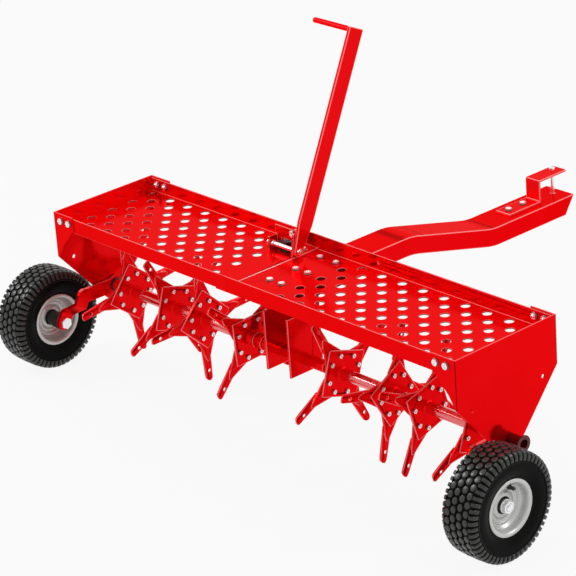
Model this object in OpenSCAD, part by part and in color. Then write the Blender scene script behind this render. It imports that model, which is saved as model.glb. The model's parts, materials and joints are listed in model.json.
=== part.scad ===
// Tow behind plug aerator with a perforated weight tray, a lever that lifts it on two wheels,
// and two tine rollers that spin on one lift shaft.
// X runs across the machine, +Y is the towing direction and +Z is up. Millimetres.

/* [Tray] */
// Length over the two end plates
tray_l = 1219; // [1100:1:1400]
// Depth over the end-plate flanges, front to back
tray_w = 280; // [260:1:320]
// Height from the floor to the top of the end plates
tray_h = 33.5; // [30:0.5:50]
// How far the lips stop below the end-plate tops
lip_step = 3; // [1:0.5:6]
// Thickness of the tray sheet
sheet_t = 2.5; // [1.5:0.25:3]
// Distance from the middle to the edge of the upper floor half
seam_x = 62; // [56:1:70]
// How far the lower floor half reaches under the upper one
lap_l = 18; // [17:0.5:24]
// Diameter of the floor holes
floor_hole_d = 19; // [12:0.5:22]
// Distance between holes along a row
hole_pitch = 59.5; // [50:0.5:70]
// Distance between rows of holes
row_pitch = 29.2; // [26:0.2:36]
// First hole of the right half, from the middle
hole_start_right = 60; // [58:1:80]
// First hole of the left half, from the middle
hole_start_left = 136; // [130:1:160]
// Least sheet left between a hole and an edge
hole_margin = 7; // [5:0.5:8]
// Distance from the middle to the spare hole in the front lip
lip_hole_x = 123; // [110:1:140]
// Depth of that hole below the top
lip_hole_drop = 19; // [14:0.5:22]
// Diameter of that hole
lip_hole_d = 7; // [5:0.5:9]

/* [End plates] */
// Thickness of the end plates and their flanges
plate_t = 3; // [2:0.5:4]
// Height of the upright front and rear edges
plate_edge_h = 105; // [90:1:115]
// How far the plates reach below the lift shaft
plate_foot_h = 29; // [26:1:40]
// Width of the foot edge
plate_foot_w = 38; // [34:1:60]
// Width of the inward flanges at the top
flange_w = 64; // [60:1:80]
// Height of the full-width part of a flange
flange_full_h = 31; // [30:1:40]
// Width of a flange where its taper turns steeper
flange_low_w = 20; // [10:1:30]
// Depth below the top where the taper turns steeper
flange_low_h = 78; // [60:1:85]
// Distance from the middle to each open hole in a plate
plate_hole_y = 99; // [85:1:105]
// Depth of these holes below the top
plate_hole_drop = 118; // [110:1:125]
// Diameter of these holes
plate_hole_d = 9; // [6:0.5:12]
// Places of the two corner bolts, from the outer face
corner_bolt_x = [24, 51]; // [12:1:52]
// Depth of the corner bolts below the top
corner_bolt_drop = 16; // [13:0.5:20]

/* [Tow bar] */
// Width of the channel
bar_w = 84; // [80:1:90]
// Height of the channel
bar_h = 42; // [38:1:50]
// Wall of the channel
bar_wall = 4; // [3:0.5:5]
// Rear end, behind the lift shaft
bar_rear = 72; // [66:1:90]
// First bend, ahead of the lift shaft
bar_bend_1 = 312; // [280:1:340]
// Distance from the front end back to the second bend
bar_bend_2 = 263; // [240:1:300]
// Front end
bar_end = 820; // [800:1:900]
// Drop between the two level runs
bar_drop = 63; // [40:1:75]
// Bend radius
bar_bend_r = 160; // [50:5:180]
// How far the lower front corner is cut back
bar_end_cut = 29; // [5:1:34]
// Places of the rear and middle floor bolts ahead of the lift shaft
bar_bolt_y = [-42, 31]; // [-50:1:60]
// Distance of the front pair of floor bolts from the front lip
bar_bolt_front = 31; // [25:1:40]
// Distance of each pair of floor bolts from the middle
bar_bolt_x = [18, 18, 24]; // [14:1:28]

/* [Hitch] */
// Width of the hitch strap
strap_w = 42; // [36:1:60]
// Thickness of the hitch strap
strap_t = 5; // [4:0.5:8]
// How far the strap's foot reaches behind the upright's front face
strap_rear = 103; // [95:1:130]
// Distance from the bar's front end back to the upright's front face
strap_web = 85; // [75:1:95]
// Height of the strap over the bar
strap_h = 54; // [45:1:70]
// Distance from the bar's front end back to the hitch pin
pin_y = 25; // [20:1:35]
// How far the strap's tab reaches ahead of the hitch pin
tab_reach = 25; // [18:1:32]
// Corner radius of the strap's tab
tab_corner_r = 5; // [4:0.5:15]
// Radius of the hitch pin
pin_r = 4.5; // [4:0.25:8]
// Radius of the pin's head
pin_head_r = 7; // [6.5:0.5:12]
// Height of the pin's head
pin_head_h = 8; // [5:0.5:12]
// How far the pin reaches below the top of the bar
pin_reach = 36; // [20:1:37]
// Places of the strap's bolts, from its rear end
strap_bolt_y = [19, 65]; // [14:1:75]

/* [Centre hanger] */
// Thickness of the hanger sheet
hanger_t = 5; // [3:0.5:6]
// How far the flanges reach behind the lift shaft
hanger_rear = 52; // [45:1:60]
// How far the hanger reaches ahead of the lift shaft
hanger_front = 40; // [34:1:50]
// Height of the step where the flanges widen
hanger_step_z = 108; // [90:1:115]
// How far the necks reach behind the lift shaft
hanger_neck_rear = 12; // [10:1:20]
// How far the flanges reach below the lift shaft
hanger_foot = 25; // [22:1:40]
// Half length of the bearing sleeve
sleeve_half_l = 94; // [46:1:95]

/* [Lift shaft and wheels] */
// Height from the lift shaft to the top of the tray
shaft_drop = 216; // [205:1:240]
// Radius of the lift shaft
shaft_r = 10; // [8:0.5:11]
// Wall of the bushes and the sleeve on the lift shaft
bush_wall = 3.5; // [2.5:0.25:4]
// How far the end bushes stand out of the end plates
bush_out = 37; // [35:1:50]
// Radius of the end bush flanges
bush_flange_r = 18.5; // [16:0.5:20]
// Thickness of the end bush flanges
bush_flange_t = 3; // [2:0.5:4]
// Distance from the lift shaft back to the wheel axle
axle_back = 126; // [120:1:140]
// Distance from the lift shaft down to the wheel axle
axle_drop = 59.5; // [50:0.5:70]
// Radius of the axle bolts
axle_r = 8; // [6:0.5:9]
// Thickness of the wheel arms
arm_t = 8; // [6:0.5:10]
// Half width of the wheel arms between their eyes
arm_half_w = 16; // [14:0.5:18]
// Radius of an arm's boss on the lift shaft
arm_boss_r = 20; // [17:0.5:24]
// Distance from the lift shaft back to the knee of an arm
knee_back = 90; // [88:1:95]
// Height of the knee above the lift shaft
knee_up = 1; // [-5:1:2]
// How far the axle end of an arm stands outside its shaft end
arm_offset = 35; // [32:1:40]
// Start of the outward bend, from the knee
arm_bend_start = 22; // [20:1:26]
// Length of the outward bend
arm_bend_l = 24; // [20:1:28]
// Swing of the lift shaft between transport and work
lift_swing = 28; // [20:1:36]
// Outer radius of the tyres
wheel_r = 114; // [100:1:120]
// Width of the tyres
tyre_w = 84; // [76:1:90]
// Radius of the tyre bead
bead_r = 52; // [48:1:56]
// Thickness of the tyre
tyre_t = 9; // [6:0.5:12]
// Distance from an end plate to the middle of its wheel
wheel_out = 82.5; // [82:0.5:95]
// Half width of the rim
rim_half_w = 33; // [30:0.5:35]
// Height of the rim flanges over the bead
rim_flange_h = 6; // [4:0.5:8]
// Sheet thickness of the rim
rim_t = 3; // [2:0.25:4]
// Radius of the rim's raised middle
rim_crown_r = 27; // [25:0.5:32]
// Outer radius of the hub
hub_r = 15; // [13:0.5:18]
// Length of the hub inward of the wheel's middle
hub_in = 30; // [26:0.5:32]
// Length of the hub outward of the wheel's middle
hub_out = 20; // [15:0.5:24]
// Radius of the axle spacers
spacer_r = 18; // [15:0.5:20]
// Distance of the valve from the axle
valve_r = 36; // [33:1:40]
// Angle of the valve round the wheel
valve_turn = 57; // [0:1:359]
// Radius of the valve stem
valve_stem_r = 4; // [3:0.5:5]

/* [Tine rollers] */
// Outer radius of the tine tubes
tube_r = 13; // [12.5:0.25:15]
// Distance from the middle to the inner ends of the tubes
tube_inner_x = 128; // [124:1:132]
// Length of the nylon bushes in the tubes
tube_bush_l = 30; // [20:1:40]
// Places of the star plates, from the middle
star_x = [140, 292, 388, 532]; // [138:1:540]
// Turn of each star, from the left end to the right
star_turn = [6.5, 28, 1.5, 47.5, 27, 75, 61, 26]; // [0:0.5:89]
// Half edge of a star plate
star_half = 50; // [46:0.5:54]
// Thickness of a star plate
star_t = 4; // [3:0.5:6]
// Distance from the shaft to a trimmed corner
star_trim_r = 69; // [60:0.5:70]
// Distance from the shaft to the tine tips
tine_tip_r = 148; // [135:1:152]
// Thickness of the tines
tine_t = 3; // [2.5:0.25:4]
// Outer radius of the spoon's round back
spoon_r = 14.5; // [12:0.25:16]
// Depth of the spoon
spoon_depth = 8; // [6:0.25:9]
// Diameter of the hole near the tip
spoon_hole_d = 7; // [4:0.5:8]
// Distance of that hole from the tip
spoon_hole_in = 24; // [16:0.5:30]
// Half width of a tine at its tip
tine_tip_half_w = 9; // [7:0.5:10]
// Distance of the tine bolts from the shaft
tine_bolt_r = 40; // [38:0.5:42]
// Distance of the tine bolts from the tine's middle
tine_bolt_y = 13.5; // [12:0.25:15]
// Thickness of the thrust washers
washer_t = 2.6; // [1.5:0.1:3]
// Length of the shaft collars
collar_l = 8; // [6:0.5:9]
// Radius of the shaft collars
collar_r = 17; // [15:0.5:20]

/* [Lever] */
// Distance from the bracket's wall back to the lever shaft
pivot_y = 13.5; // [12:0.5:16]
// Height of the lever shaft over the floor
pivot_h = 12.5; // [12:0.5:18]
// Radius of the lever shaft
pivot_r = 5; // [4:0.5:6]
// Width of the lever bar
lever_w = 40; // [34:1:42]
// Thickness of the lever bar
lever_t = 8; // [6:0.5:10]
// Length of the lever from its shaft to its top
lever_l = 481; // [400:1:560]
// Length of the tapered lower part
lever_taper_l = 62; // [50:1:75]
// Radius of the lever's foot round its shaft
lever_foot_r = 11; // [9:0.5:12]
// Forward lean of the lever
lever_lean = 25; // [15:1:27]
// Distance from the middle to the lever bar
lever_x = 58; // [56:1:60]
// Length of the grip rod
grip_l = 116; // [80:1:150]
// Radius of the grip rod
grip_r = 6; // [5:0.5:9]
// Length of the lever bracket along the shaft
bracket_l = 76; // [70:1:84]
// Thickness of the bracket sheet
bracket_t = 5; // [3:0.5:6]
// Distance from the front lip back to the bracket's wall
bracket_y = 41.5; // [38:0.5:50]
// Height of the bracket over the floor
bracket_h = 50; // [45:1:60]
// Length of the bracket's foot
foot_l = 16; // [14:0.5:17]
// How far the bracket's ears reach behind the lever shaft
ear_r = 12; // [11:0.5:14]
// Height of the bracket's low ear
ear_low_h = 29; // [28:1:40]
// Crank radius of the lever and of the lift shaft
crank_r = 30; // [28:0.5:32]
// Width of the two forked cranks
crank_t = 24; // [20:0.5:24]
// Radius of the crank and link eyes
eye_r = 10; // [8:0.5:10.5]
// Radius of the crank pins
crank_pin_r = 5; // [4:0.25:6]
// Thickness of the link bar
link_t = 8; // [5:0.5:9]
// Distance from the middle to the cranks
crank_x = 107; // [106:0.5:107]

/* [Fasteners and fits] */
// Radius of the bolts
bolt_r = 4; // [3:0.25:4.5]
// Width of the bolt heads across the flats
bolt_af = 13; // [11:0.5:13]
// Height of the bolt heads
bolt_head_h = 5; // [4:0.25:6]
// Height of the nuts
nut_h = 6; // [4:0.25:6.5]
// Radius of the tine bolts
tine_bolt_shank_r = 3; // [2.5:0.25:4]
// Width of the tine bolts' heads across the flats
tine_bolt_af = 9; // [8:0.5:13]
// Wall of the nylon bushes in the tine tubes
nylon_wall = 1.2; // [0.8:0.1:1.2]
// Radial play of turning pieces
run_gap = 0.08; // [0.05:0.01:0.1]
// Radial play of fixed pieces in their holes
fit_gap = 0.05; // [0.02:0.01:0.1]
// Room beside moving pieces
side_gap = 0.5; // [0.4:0.05:0.8]

/* [Hidden] */
$fn = 96;

paint_red = [0.86, 0.05, 0.05];
dark_red = [0.35, 0.02, 0.02];
zinc = [0.80, 0.81, 0.82];
rubber_black = [0.05, 0.05, 0.05];
rim_grey = [0.66, 0.67, 0.68];
nylon_black = [0.08, 0.08, 0.08];

// Places in the machine's own axes, from the middle of the lift shaft
top_z = shaft_drop;
floor_z = top_z - tray_h;
low_floor_z = floor_z - sheet_t;
bar_top_z = low_floor_z - sheet_t;
lip_z = top_z - lip_step;
plate_x = tray_l / 2;
plate_in_x = plate_x - plate_t;
lip_y = tray_w / 2 - plate_t;
hole_r = floor_hole_d / 2;
cut = 1;

// Place of the machine's axes over the ground, with the overall box centred front to back
web_y = bar_end - strap_web;
strap_rear_y = web_y - strap_rear;
hitch_y = bar_end - pin_y;
tab_end_y = hitch_y + tab_reach;
front_y = max(bar_end, tab_end_y);
shaft_y = (axle_back + wheel_r - front_y) / 2;
shaft_z = wheel_r + axle_drop;

// Lever bracket: on the upper floor half beside the seam, its wall behind the front lip
seam_room = 2;
bracket_x1 = -seam_x - seam_room;
bracket_x0 = bracket_x1 - bracket_l;
wall_y1 = lip_y - sheet_t - bracket_y;
wall_y0 = wall_y1 - bracket_t;
bracket_top_z = floor_z + bracket_h;
lever_x0 = -lever_x - lever_t / 2;
lever_y = wall_y0 - pivot_y;
pivot_z = floor_z + pivot_h;
ear_top_rear = 2;
low_ear_top_rear = 9;
foot_bolt_x = 30;
wall_bolt_in = 22;
wall_bolt_drop = 9;
cap_step = 3;

// Lift linkage: equal forked cranks and a link as long as the distance between the two shafts
link_l = norm([lever_y, pivot_z]);
crank_turn = atan2(-lever_y, pivot_z) + lift_swing / 2;
link_turn = atan2(pivot_z, lever_y);
crank_dy = crank_r * cos(crank_turn);
crank_dz = crank_r * sin(crank_turn);
crank_x0 = -crank_x - crank_t / 2;
crank_x1 = crank_x0 + crank_t;
link_x = -crank_x - link_t / 2;
eye_lip = 1;
eye_bar_half = eye_r - eye_lip;
fork_room = 4;
fork_root = crank_r - eye_r - fork_room;
pin_cap_t = 1.5;
pin_cap_r = eye_r - 2 * eye_lip;
slot_room = 1;
slot_x0 = crank_x0 - pin_cap_t - slot_room;
slot_x1 = crank_x1 + pin_cap_t + slot_room;
slot_y0 = lever_y + slot_room;
slot_y1 = lever_y + crank_r + eye_r + slot_room;
notch_z = pivot_z + eye_r + slot_room;

// Places along the lift shaft, from an end plate inward
bush_r = shaft_r + bush_wall;
arm_x1 = plate_in_x - bush_flange_t - side_gap;
arm_x0 = arm_x1 - arm_t;
tube_outer_x = arm_x0 - washer_t - 2 * fit_gap;
collar_x1 = tube_inner_x - side_gap;
collar_x0 = collar_x1 - collar_l;
shaft_end_in = 14;
shaft_half_l = plate_x + bush_out - shaft_end_in;
washer_r = tube_r + cap_step;
nylon_r = shaft_r + run_gap + nylon_wall;

// Places along an axle
arm_out_x1 = arm_x1 + arm_offset;
wheel_x = plate_x + wheel_out;
axle_head_h = 8;
axle_nut_h = 9;
axle_nut_af = 24;
axle_washer_t = 2.5;
axle_washer_r = 14;
hub_x1 = wheel_x + hub_out;
nut_x0 = hub_x1 + side_gap / 2 + axle_washer_t;
valve_l = 26;
valve_base_r = valve_stem_r + 2;

// Sizes of the tines
star_face = star_t / 2;
base_half_w = 25;
base_r0 = 28;
base_r1 = 45;
base_r2 = 75;
blend_r = 100;
blend_half_w = 3;
spoon_half_w = sqrt(pow(spoon_r, 2) - pow(spoon_r - spoon_depth, 2));
bolt_hole_r = bolt_r + fit_gap;
tine_bolt_hole_r = tine_bolt_shank_r + fit_gap;
bolt_rest = 2;
floor_bolt_y = concat(bar_bolt_y, [lip_y - bar_bolt_front]);

// Moves from the machine's own axes to the part's frame
module placed() {
  translate([0, shaft_y, shaft_z]) children();
}

// Moves to the lever shaft
module at_pivot() {
  placed() translate([0, lever_y, pivot_z]) children();
}

// Moves to the left (-1) or right (+1) end
module on_side(side) {
  placed() mirror([side < 0 ? 1 : 0, 0, 0]) children();
}

// Moves to a wheel axle
module on_axle(side) {
  on_side(side) translate([0, -axle_back, -axle_drop]) children();
}

// Round bar along X
module rod(r, x0, x1) {
  translate([x0, 0, 0]) rotate([0, 90, 0]) cylinder(r = r, h = x1 - x0);
}

// Tube along X
module pipe(r_out, r_in, x0, x1) {
  difference() {
    rod(r_out, x0, x1);
    rod(r_in, x0 - cut, x1 + cut);
  }
}

// Plate along X from an outline in Y and Z
module slab(x0, x1) {
  translate([x0, 0, 0]) rotate([90, 0, 90]) linear_extrude(x1 - x0) children();
}

// Hexagon prism along +Z by its width across the flats
module hexagon(af, h) {
  cylinder(r = af / sqrt(3), h = h, $fn = 6);
}

// Bolt along +Z with its head under Z = 0 and its nut run home at the end of the grip
module bolt(grip, r = bolt_r, af = bolt_af) {
  translate([0, 0, -bolt_head_h]) hexagon(af, bolt_head_h);
  cylinder(r = r, h = grip + nut_h + bolt_rest);
  translate([0, 0, grip]) hexagon(af, nut_h);
}

// Floor of one half: staggered holes, clear of the lever bracket
function rows_half() = floor((lip_y - sheet_t - hole_margin - hole_r) / row_pitch);
function row_start(k, start) = start + (abs(k) % 2 == 0 ? hole_pitch / 2 : 0);
function row_count(first) = floor((plate_in_x - 2 * hole_margin - hole_r - first) / hole_pitch) + 1;
function off_bracket(x, y) =
  x < bracket_x0 - hole_r || x > bracket_x1 + hole_r || y < lever_y - ear_r - hole_r;

module floor_holes(side, start) {
  for (k = [-rows_half():rows_half()]) {
    first = row_start(k, start);
    for (i = [0:row_count(first) - 1]) {
      x = side * (first + i * hole_pitch);
      y = k * row_pitch;
      if (off_bracket(x, y)) translate([x, y]) circle(hole_r);
    }
  }
}

module floor_bolt_holes() {
  for (i = [0:len(floor_bolt_y) - 1]) {
    for (s = [-1, 1]) translate([s * bar_bolt_x[i], floor_bolt_y[i]]) circle(bolt_hole_r);
  }
}

module lips(x0, x1, z0) {
  for (s = [-1, 1]) {
    translate([x0, s * lip_y - (s > 0 ? sheet_t : 0), z0]) cube([x1 - x0, sheet_t, lip_z - z0]);
  }
}

module corner_holes(side) {
  for (x = corner_bolt_x) {
    translate([side * (plate_x - x), tray_w, top_z - corner_bolt_drop])
      rotate([90, 0, 0]) cylinder(r = bolt_hole_r, h = 2 * tray_w);
  }
}

module tray_left() {
  color(paint_red) placed() difference() {
    union() {
      translate([0, 0, low_floor_z]) linear_extrude(sheet_t) difference() {
        translate([-plate_in_x, -lip_y]) square([plate_in_x - seam_x, 2 * lip_y]);
        floor_holes(-1, hole_start_left);
        translate([slot_x0, slot_y0]) square([slot_x1 - slot_x0, slot_y1 - slot_y0]);
        foot_bolt_holes();
      }
      lips(-plate_in_x, -seam_x, low_floor_z);
    }
    corner_holes(-1);
  }
}

module tray_right() {
  color(paint_red) placed() difference() {
    union() {
      translate([0, 0, bar_top_z]) linear_extrude(sheet_t) difference() {
        translate([-seam_x - lap_l, -lip_y]) square([seam_x + lap_l + plate_in_x, 2 * lip_y]);
        floor_holes(1, hole_start_right);
        floor_bolt_holes();
        foot_bolt_holes();
      }
      lips(-seam_x, plate_in_x, bar_top_z);
    }
    corner_holes(1);
    translate([lip_hole_x, 0, top_z - lip_hole_drop])
      rotate([-90, 0, 0]) cylinder(r = lip_hole_d / 2, h = tray_w);
  }
}

// End plate of the right side, with its two inward flanges
module end_plate() {
  half_w = tray_w / 2;
  difference() {
    union() {
      slab(plate_in_x, plate_x) polygon([
        [-half_w, top_z], [half_w, top_z], [half_w, top_z - plate_edge_h],
        [plate_foot_w / 2, -plate_foot_h], [-plate_foot_w / 2, -plate_foot_h],
        [-half_w, top_z - plate_edge_h]
      ]);
      for (y = [-lip_y, half_w]) {
        translate([plate_x, y, top_z]) rotate([90, 0, 0]) linear_extrude(plate_t) polygon([
          [0, 0], [-flange_w, 0], [-flange_w, -flange_full_h],
          [-flange_low_w, -flange_low_h], [-plate_t, -plate_edge_h], [0, -plate_edge_h]
        ]);
      }
    }
    for (s = [-1, 1]) {
      translate([0, s * plate_hole_y, top_z - plate_hole_drop])
        rod(plate_hole_d / 2, plate_in_x - cut, plate_x + cut);
    }
    rod(bush_r + fit_gap, plate_in_x - cut, plate_x + cut);
    corner_holes(1);
  }
}

module end_plate_left() {
  color(paint_red) on_side(-1) end_plate();
}

module end_plate_right() {
  color(paint_red) on_side(1) end_plate();
}

module corner_bolts() {
  color(zinc) for (side = [-1, 1], s = [-1, 1], x = corner_bolt_x) {
    on_side(side) translate([plate_x - x, s * tray_w / 2, top_z - corner_bolt_drop])
      rotate([s * 90, 0, 0]) bolt(plate_t + sheet_t);
  }
}

// Tow bar: top line of the channel as points in Y and Z, with round bends
bend_2_y = bar_end - bar_bend_2;
bar_slope = atan(bar_drop / (bend_2_y - bar_bend_1));
bend_steps = 6;
function bend_arc(y, z, sign) = let (reach = bar_bend_r * tan(bar_slope / 2)) [
  for (i = [0:bend_steps])
    let (a = bar_slope * (sign > 0 ? bend_steps - i : i) / bend_steps)
    sign > 0
      ? [y + reach - bar_bend_r * sin(a), z + bar_bend_r * (1 - cos(a))]
      : [y - reach + bar_bend_r * sin(a), z - bar_bend_r * (1 - cos(a))]
];
bar_front_z = bar_top_z - bar_drop;
bar_line = concat(
  bend_arc(bar_bend_1, bar_top_z, -1),
  bend_arc(bend_2_y, bar_front_z, 1)
);
function bar_band(y0, y1, cut_back, z_top, z_bottom) = concat(
  [[y0, bar_top_z - z_top]],
  [for (p = bar_line) [p[0], p[1] - z_top]],
  [[y1, bar_front_z - z_top], [y1 - cut_back, bar_front_z - z_bottom]],
  [for (i = [len(bar_line) - 1:-1:0]) [bar_line[i][0], bar_line[i][1] - z_bottom]],
  [[y0, bar_top_z - z_bottom]]
);

module tow_bar() {
  inner_half = bar_w / 2 - bar_wall;
  color(paint_red) placed() difference() {
    slab(-bar_w / 2, bar_w / 2) polygon(bar_band(-bar_rear, bar_end, bar_end_cut, 0, bar_h));
    slab(-inner_half, inner_half)
      polygon(bar_band(-bar_rear - cut, bar_end + bar_end_cut, 0, bar_wall, bar_h + cut));
    translate([0, 0, bar_top_z - bar_wall - cut]) linear_extrude(bar_wall + 2 * cut) floor_bolt_holes();
    strap_holes();
    hanger_bolt_places() cylinder(r = bolt_hole_r, h = bar_wall + hanger_t + 2 * cut);
  }
}

module tow_bar_bolts() {
  color(zinc) placed() for (i = [0:len(floor_bolt_y) - 1], s = [-1, 1]) {
    translate([s * bar_bolt_x[i], floor_bolt_y[i], low_floor_z])
      mirror([0, 0, 1]) bolt(sheet_t + bar_wall);
  }
}

// Hitch strap: foot on the bar, upright, and a tab over the drawbar gap
module strap_holes() {
  for (y = strap_bolt_y) {
    translate([0, strap_rear_y + y, bar_front_z - bar_h]) cylinder(r = bolt_hole_r, h = bar_h + 2 * strap_t);
  }
  translate([0, hitch_y, bar_front_z - bar_h]) cylinder(r = pin_r + run_gap, h = bar_h + 2 * strap_h);
}

// Outline of the strap's tab with two round front corners
module tab_outline() {
  half_w = strap_w / 2;
  inner_half = half_w - tab_corner_r;
  translate([-half_w, web_y - strap_t]) square([strap_w, tab_end_y - tab_corner_r - web_y + strap_t]);
  translate([-inner_half, web_y]) square([2 * inner_half, tab_end_y - web_y]);
  for (s = [-1, 1]) translate([s * inner_half, tab_end_y - tab_corner_r]) circle(tab_corner_r);
}

module hitch_strap() {
  color(paint_red) placed() difference() {
    union() {
      translate([-strap_w / 2, strap_rear_y, bar_front_z]) cube([strap_w, strap_rear, strap_t]);
      translate([-strap_w / 2, web_y - strap_t, bar_front_z]) cube([strap_w, strap_t, strap_h]);
      translate([0, 0, bar_front_z + strap_h - strap_t]) linear_extrude(strap_t) tab_outline();
    }
    strap_holes();
  }
}

module hitch_bolts() {
  color(zinc) placed() for (y = strap_bolt_y) {
    translate([0, strap_rear_y + y, bar_front_z + strap_t]) mirror([0, 0, 1]) bolt(strap_t + bar_wall);
  }
}

module hitch_pin() {
  color(zinc) placed() translate([0, hitch_y, bar_front_z]) {
    translate([0, 0, -pin_reach]) cylinder(r = pin_r, h = pin_reach + strap_h);
    translate([0, 0, strap_h]) cylinder(r = pin_head_r, h = pin_head_h);
  }
}

// Centre hanger: two flanges inside the tow bar, joined by a front web
hanger_x = bar_w / 2 - bar_wall;
nut_room = 1;
hanger_top_z = bar_top_z - bar_wall - nut_h - bolt_rest - nut_room;
hanger_bolt_z = bar_top_z - bar_h + bolt_af;

module hanger_bolt_places() {
  for (s = [-1, 1], y = [0, hanger_front - hanger_t - bolt_af]) {
    translate([s * (hanger_x - hanger_t - cut), y, hanger_bolt_z]) rotate([0, s * 90, 0]) children();
  }
}

module hanger_flange() {
  polygon([
    [-hanger_rear, -hanger_foot], [hanger_front, -hanger_foot], [hanger_front, hanger_top_z],
    [-hanger_neck_rear, hanger_top_z], [-hanger_neck_rear, hanger_step_z], [-hanger_rear, hanger_step_z]
  ]);
}

module centre_hanger() {
  color(paint_red) placed() difference() {
    union() {
      slab(hanger_x - hanger_t, hanger_x) hanger_flange();
      slab(-hanger_x, hanger_t - hanger_x) hanger_flange();
      translate([-hanger_x, hanger_front - hanger_t, -hanger_foot])
        cube([2 * hanger_x, hanger_t, hanger_top_z + hanger_foot]);
    }
    rod(bush_r + fit_gap, -hanger_x - cut, hanger_x + cut);
    hanger_bolt_places() cylinder(r = bolt_hole_r, h = hanger_t + 2 * cut);
  }
}

module hanger_sleeve() {
  color(paint_red) placed() pipe(bush_r, shaft_r + run_gap, -sleeve_half_l, sleeve_half_l);
}

module hanger_bolts() {
  color(zinc) placed() hanger_bolt_places()
    translate([0, 0, hanger_t + bar_wall + cut]) mirror([0, 0, 1]) bolt(hanger_t + bar_wall);
}

// Flanged end bush, held by an inner flange on the end plate
module end_bush() {
  x1 = plate_x + bush_out;
  difference() {
    union() {
      rod(bush_r, plate_in_x - bush_flange_t, x1);
      rod(bush_flange_r, plate_in_x - bush_flange_t, plate_in_x);
      rod(bush_flange_r, x1 - bush_flange_t, x1);
    }
    rod(shaft_r + run_gap, plate_in_x - bush_flange_t - cut, x1 + cut);
  }
}

module end_bush_left() {
  color(dark_red) on_side(-1) end_bush();
}

module end_bush_right() {
  color(dark_red) on_side(1) end_bush();
}

module lift_shaft() {
  color(paint_red) placed() rod(shaft_r, -shaft_half_l, shaft_half_l);
}

// Forked crank on an axis at the origin, with its pin hole at the crank radius
module crank(boss_r, bore_r) {
  difference() {
    rotate([crank_turn, 0, 0]) slab(crank_x0, crank_x1) {
      if (boss_r > 0) circle(boss_r);
      translate([0, -eye_bar_half]) square([crank_r - eye_lip, 2 * eye_bar_half]);
      translate([crank_r, 0]) circle(eye_r);
    }
    rod(bore_r, crank_x0 - cut, crank_x1 + cut);
    rotate([crank_turn, 0, 0]) {
      translate([0, crank_r, 0]) rod(crank_pin_r + fit_gap, crank_x0 - cut, crank_x1 + cut);
      translate([link_x - side_gap, fork_root, -crank_r])
        cube([link_t + 2 * side_gap, 2 * crank_r, 2 * crank_r]);
    }
  }
}

// Pin of a crank with a cap on each side of the fork
module crank_pin_shape() {
  translate([0, crank_dy, crank_dz]) {
    rod(crank_pin_r, crank_x0 - pin_cap_t, crank_x1 + pin_cap_t);
    rod(pin_cap_r, crank_x0 - pin_cap_t, crank_x0);
    rod(pin_cap_r, crank_x1, crank_x1 + pin_cap_t);
  }
}

module lift_lug() {
  color(paint_red) placed() crank(collar_r, shaft_r + fit_gap);
}

module lug_pin() {
  color(zinc) placed() crank_pin_shape();
}

module shaft_collars() {
  color(paint_red) for (side = [-1, 1]) on_side(side) pipe(collar_r, shaft_r + fit_gap, collar_x0, collar_x1);
}

module thrust_washers() {
  color(nylon_black) for (side = [-1, 1]) on_side(side)
    pipe(washer_r, shaft_r + fit_gap, arm_x0 - washer_t - fit_gap, arm_x0 - fit_gap);
}

// Wheel arm: plate on the lift shaft to the knee, then a strip bent outward to the axle
knee_run = norm([axle_back - knee_back, axle_drop + knee_up]);
knee_turn = atan2(-axle_drop - knee_up, -(axle_back - knee_back));

module wheel_arm() {
  bend_end = arm_bend_start + arm_bend_l;
  difference() {
    union() {
      rod(arm_boss_r, arm_x0, arm_x1);
      rotate([atan2(knee_up, -knee_back), 0, 0])
        translate([arm_x0, 0, -arm_half_w]) cube([arm_t, norm([knee_back, knee_up]) - eye_lip, 2 * arm_half_w]);
      translate([0, -knee_back, knee_up]) {
        rod(arm_half_w + eye_lip, arm_x0, arm_x1);
        rotate([knee_turn, 0, 0]) translate([0, 0, -arm_half_w]) linear_extrude(2 * arm_half_w) polygon([
          [arm_x0, eye_lip], [arm_x1, eye_lip], [arm_x1, arm_bend_start], [arm_out_x1, bend_end],
          [arm_out_x1, knee_run - eye_lip], [arm_out_x1 - arm_t, knee_run - eye_lip],
          [arm_out_x1 - arm_t, bend_end + arm_t / 2], [arm_x0, arm_bend_start + arm_t / 2]
        ]);
      }
      translate([0, -axle_back, -axle_drop]) rod(arm_half_w + eye_lip, arm_out_x1 - arm_t, arm_out_x1);
    }
    rod(shaft_r + fit_gap, arm_x0 - cut, arm_x1 + cut);
    translate([0, -axle_back, -axle_drop]) rod(axle_r + fit_gap, arm_out_x1 - arm_t - cut, arm_out_x1 + cut);
  }
}

module wheel_arm_left() {
  color(paint_red) on_side(-1) wheel_arm();
}

module wheel_arm_right() {
  color(paint_red) on_side(1) wheel_arm();
}

// Axle bolt: head inside the arm, shank out through the hub
module axle_bolt() {
  head_x = arm_out_x1 - arm_t - axle_head_h;
  translate([head_x, 0, 0]) rotate([0, 90, 0]) hexagon(axle_nut_af, axle_head_h);
  rod(axle_r, head_x, nut_x0 + axle_nut_h + bolt_rest);
}

module axle_bolt_left() {
  color(zinc) on_axle(-1) axle_bolt();
}

module axle_bolt_right() {
  color(zinc) on_axle(1) axle_bolt();
}

module axle_spacer() {
  pipe(spacer_r, axle_r + fit_gap, arm_out_x1, wheel_x - hub_in - side_gap / 2);
}

module axle_spacer_left() {
  color(nylon_black) on_axle(-1) axle_spacer();
}

module axle_spacer_right() {
  color(nylon_black) on_axle(1) axle_spacer();
}

module axle_nuts() {
  color(zinc) for (side = [-1, 1]) on_axle(side) difference() {
    union() {
      rod(axle_washer_r, nut_x0 - axle_washer_t, nut_x0);
      translate([nut_x0, 0, 0]) rotate([0, 90, 0]) hexagon(axle_nut_af, axle_nut_h);
    }
    rod(axle_r + fit_gap, nut_x0 - axle_washer_t - cut, nut_x0 + axle_nut_h + cut);
  }
}

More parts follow.
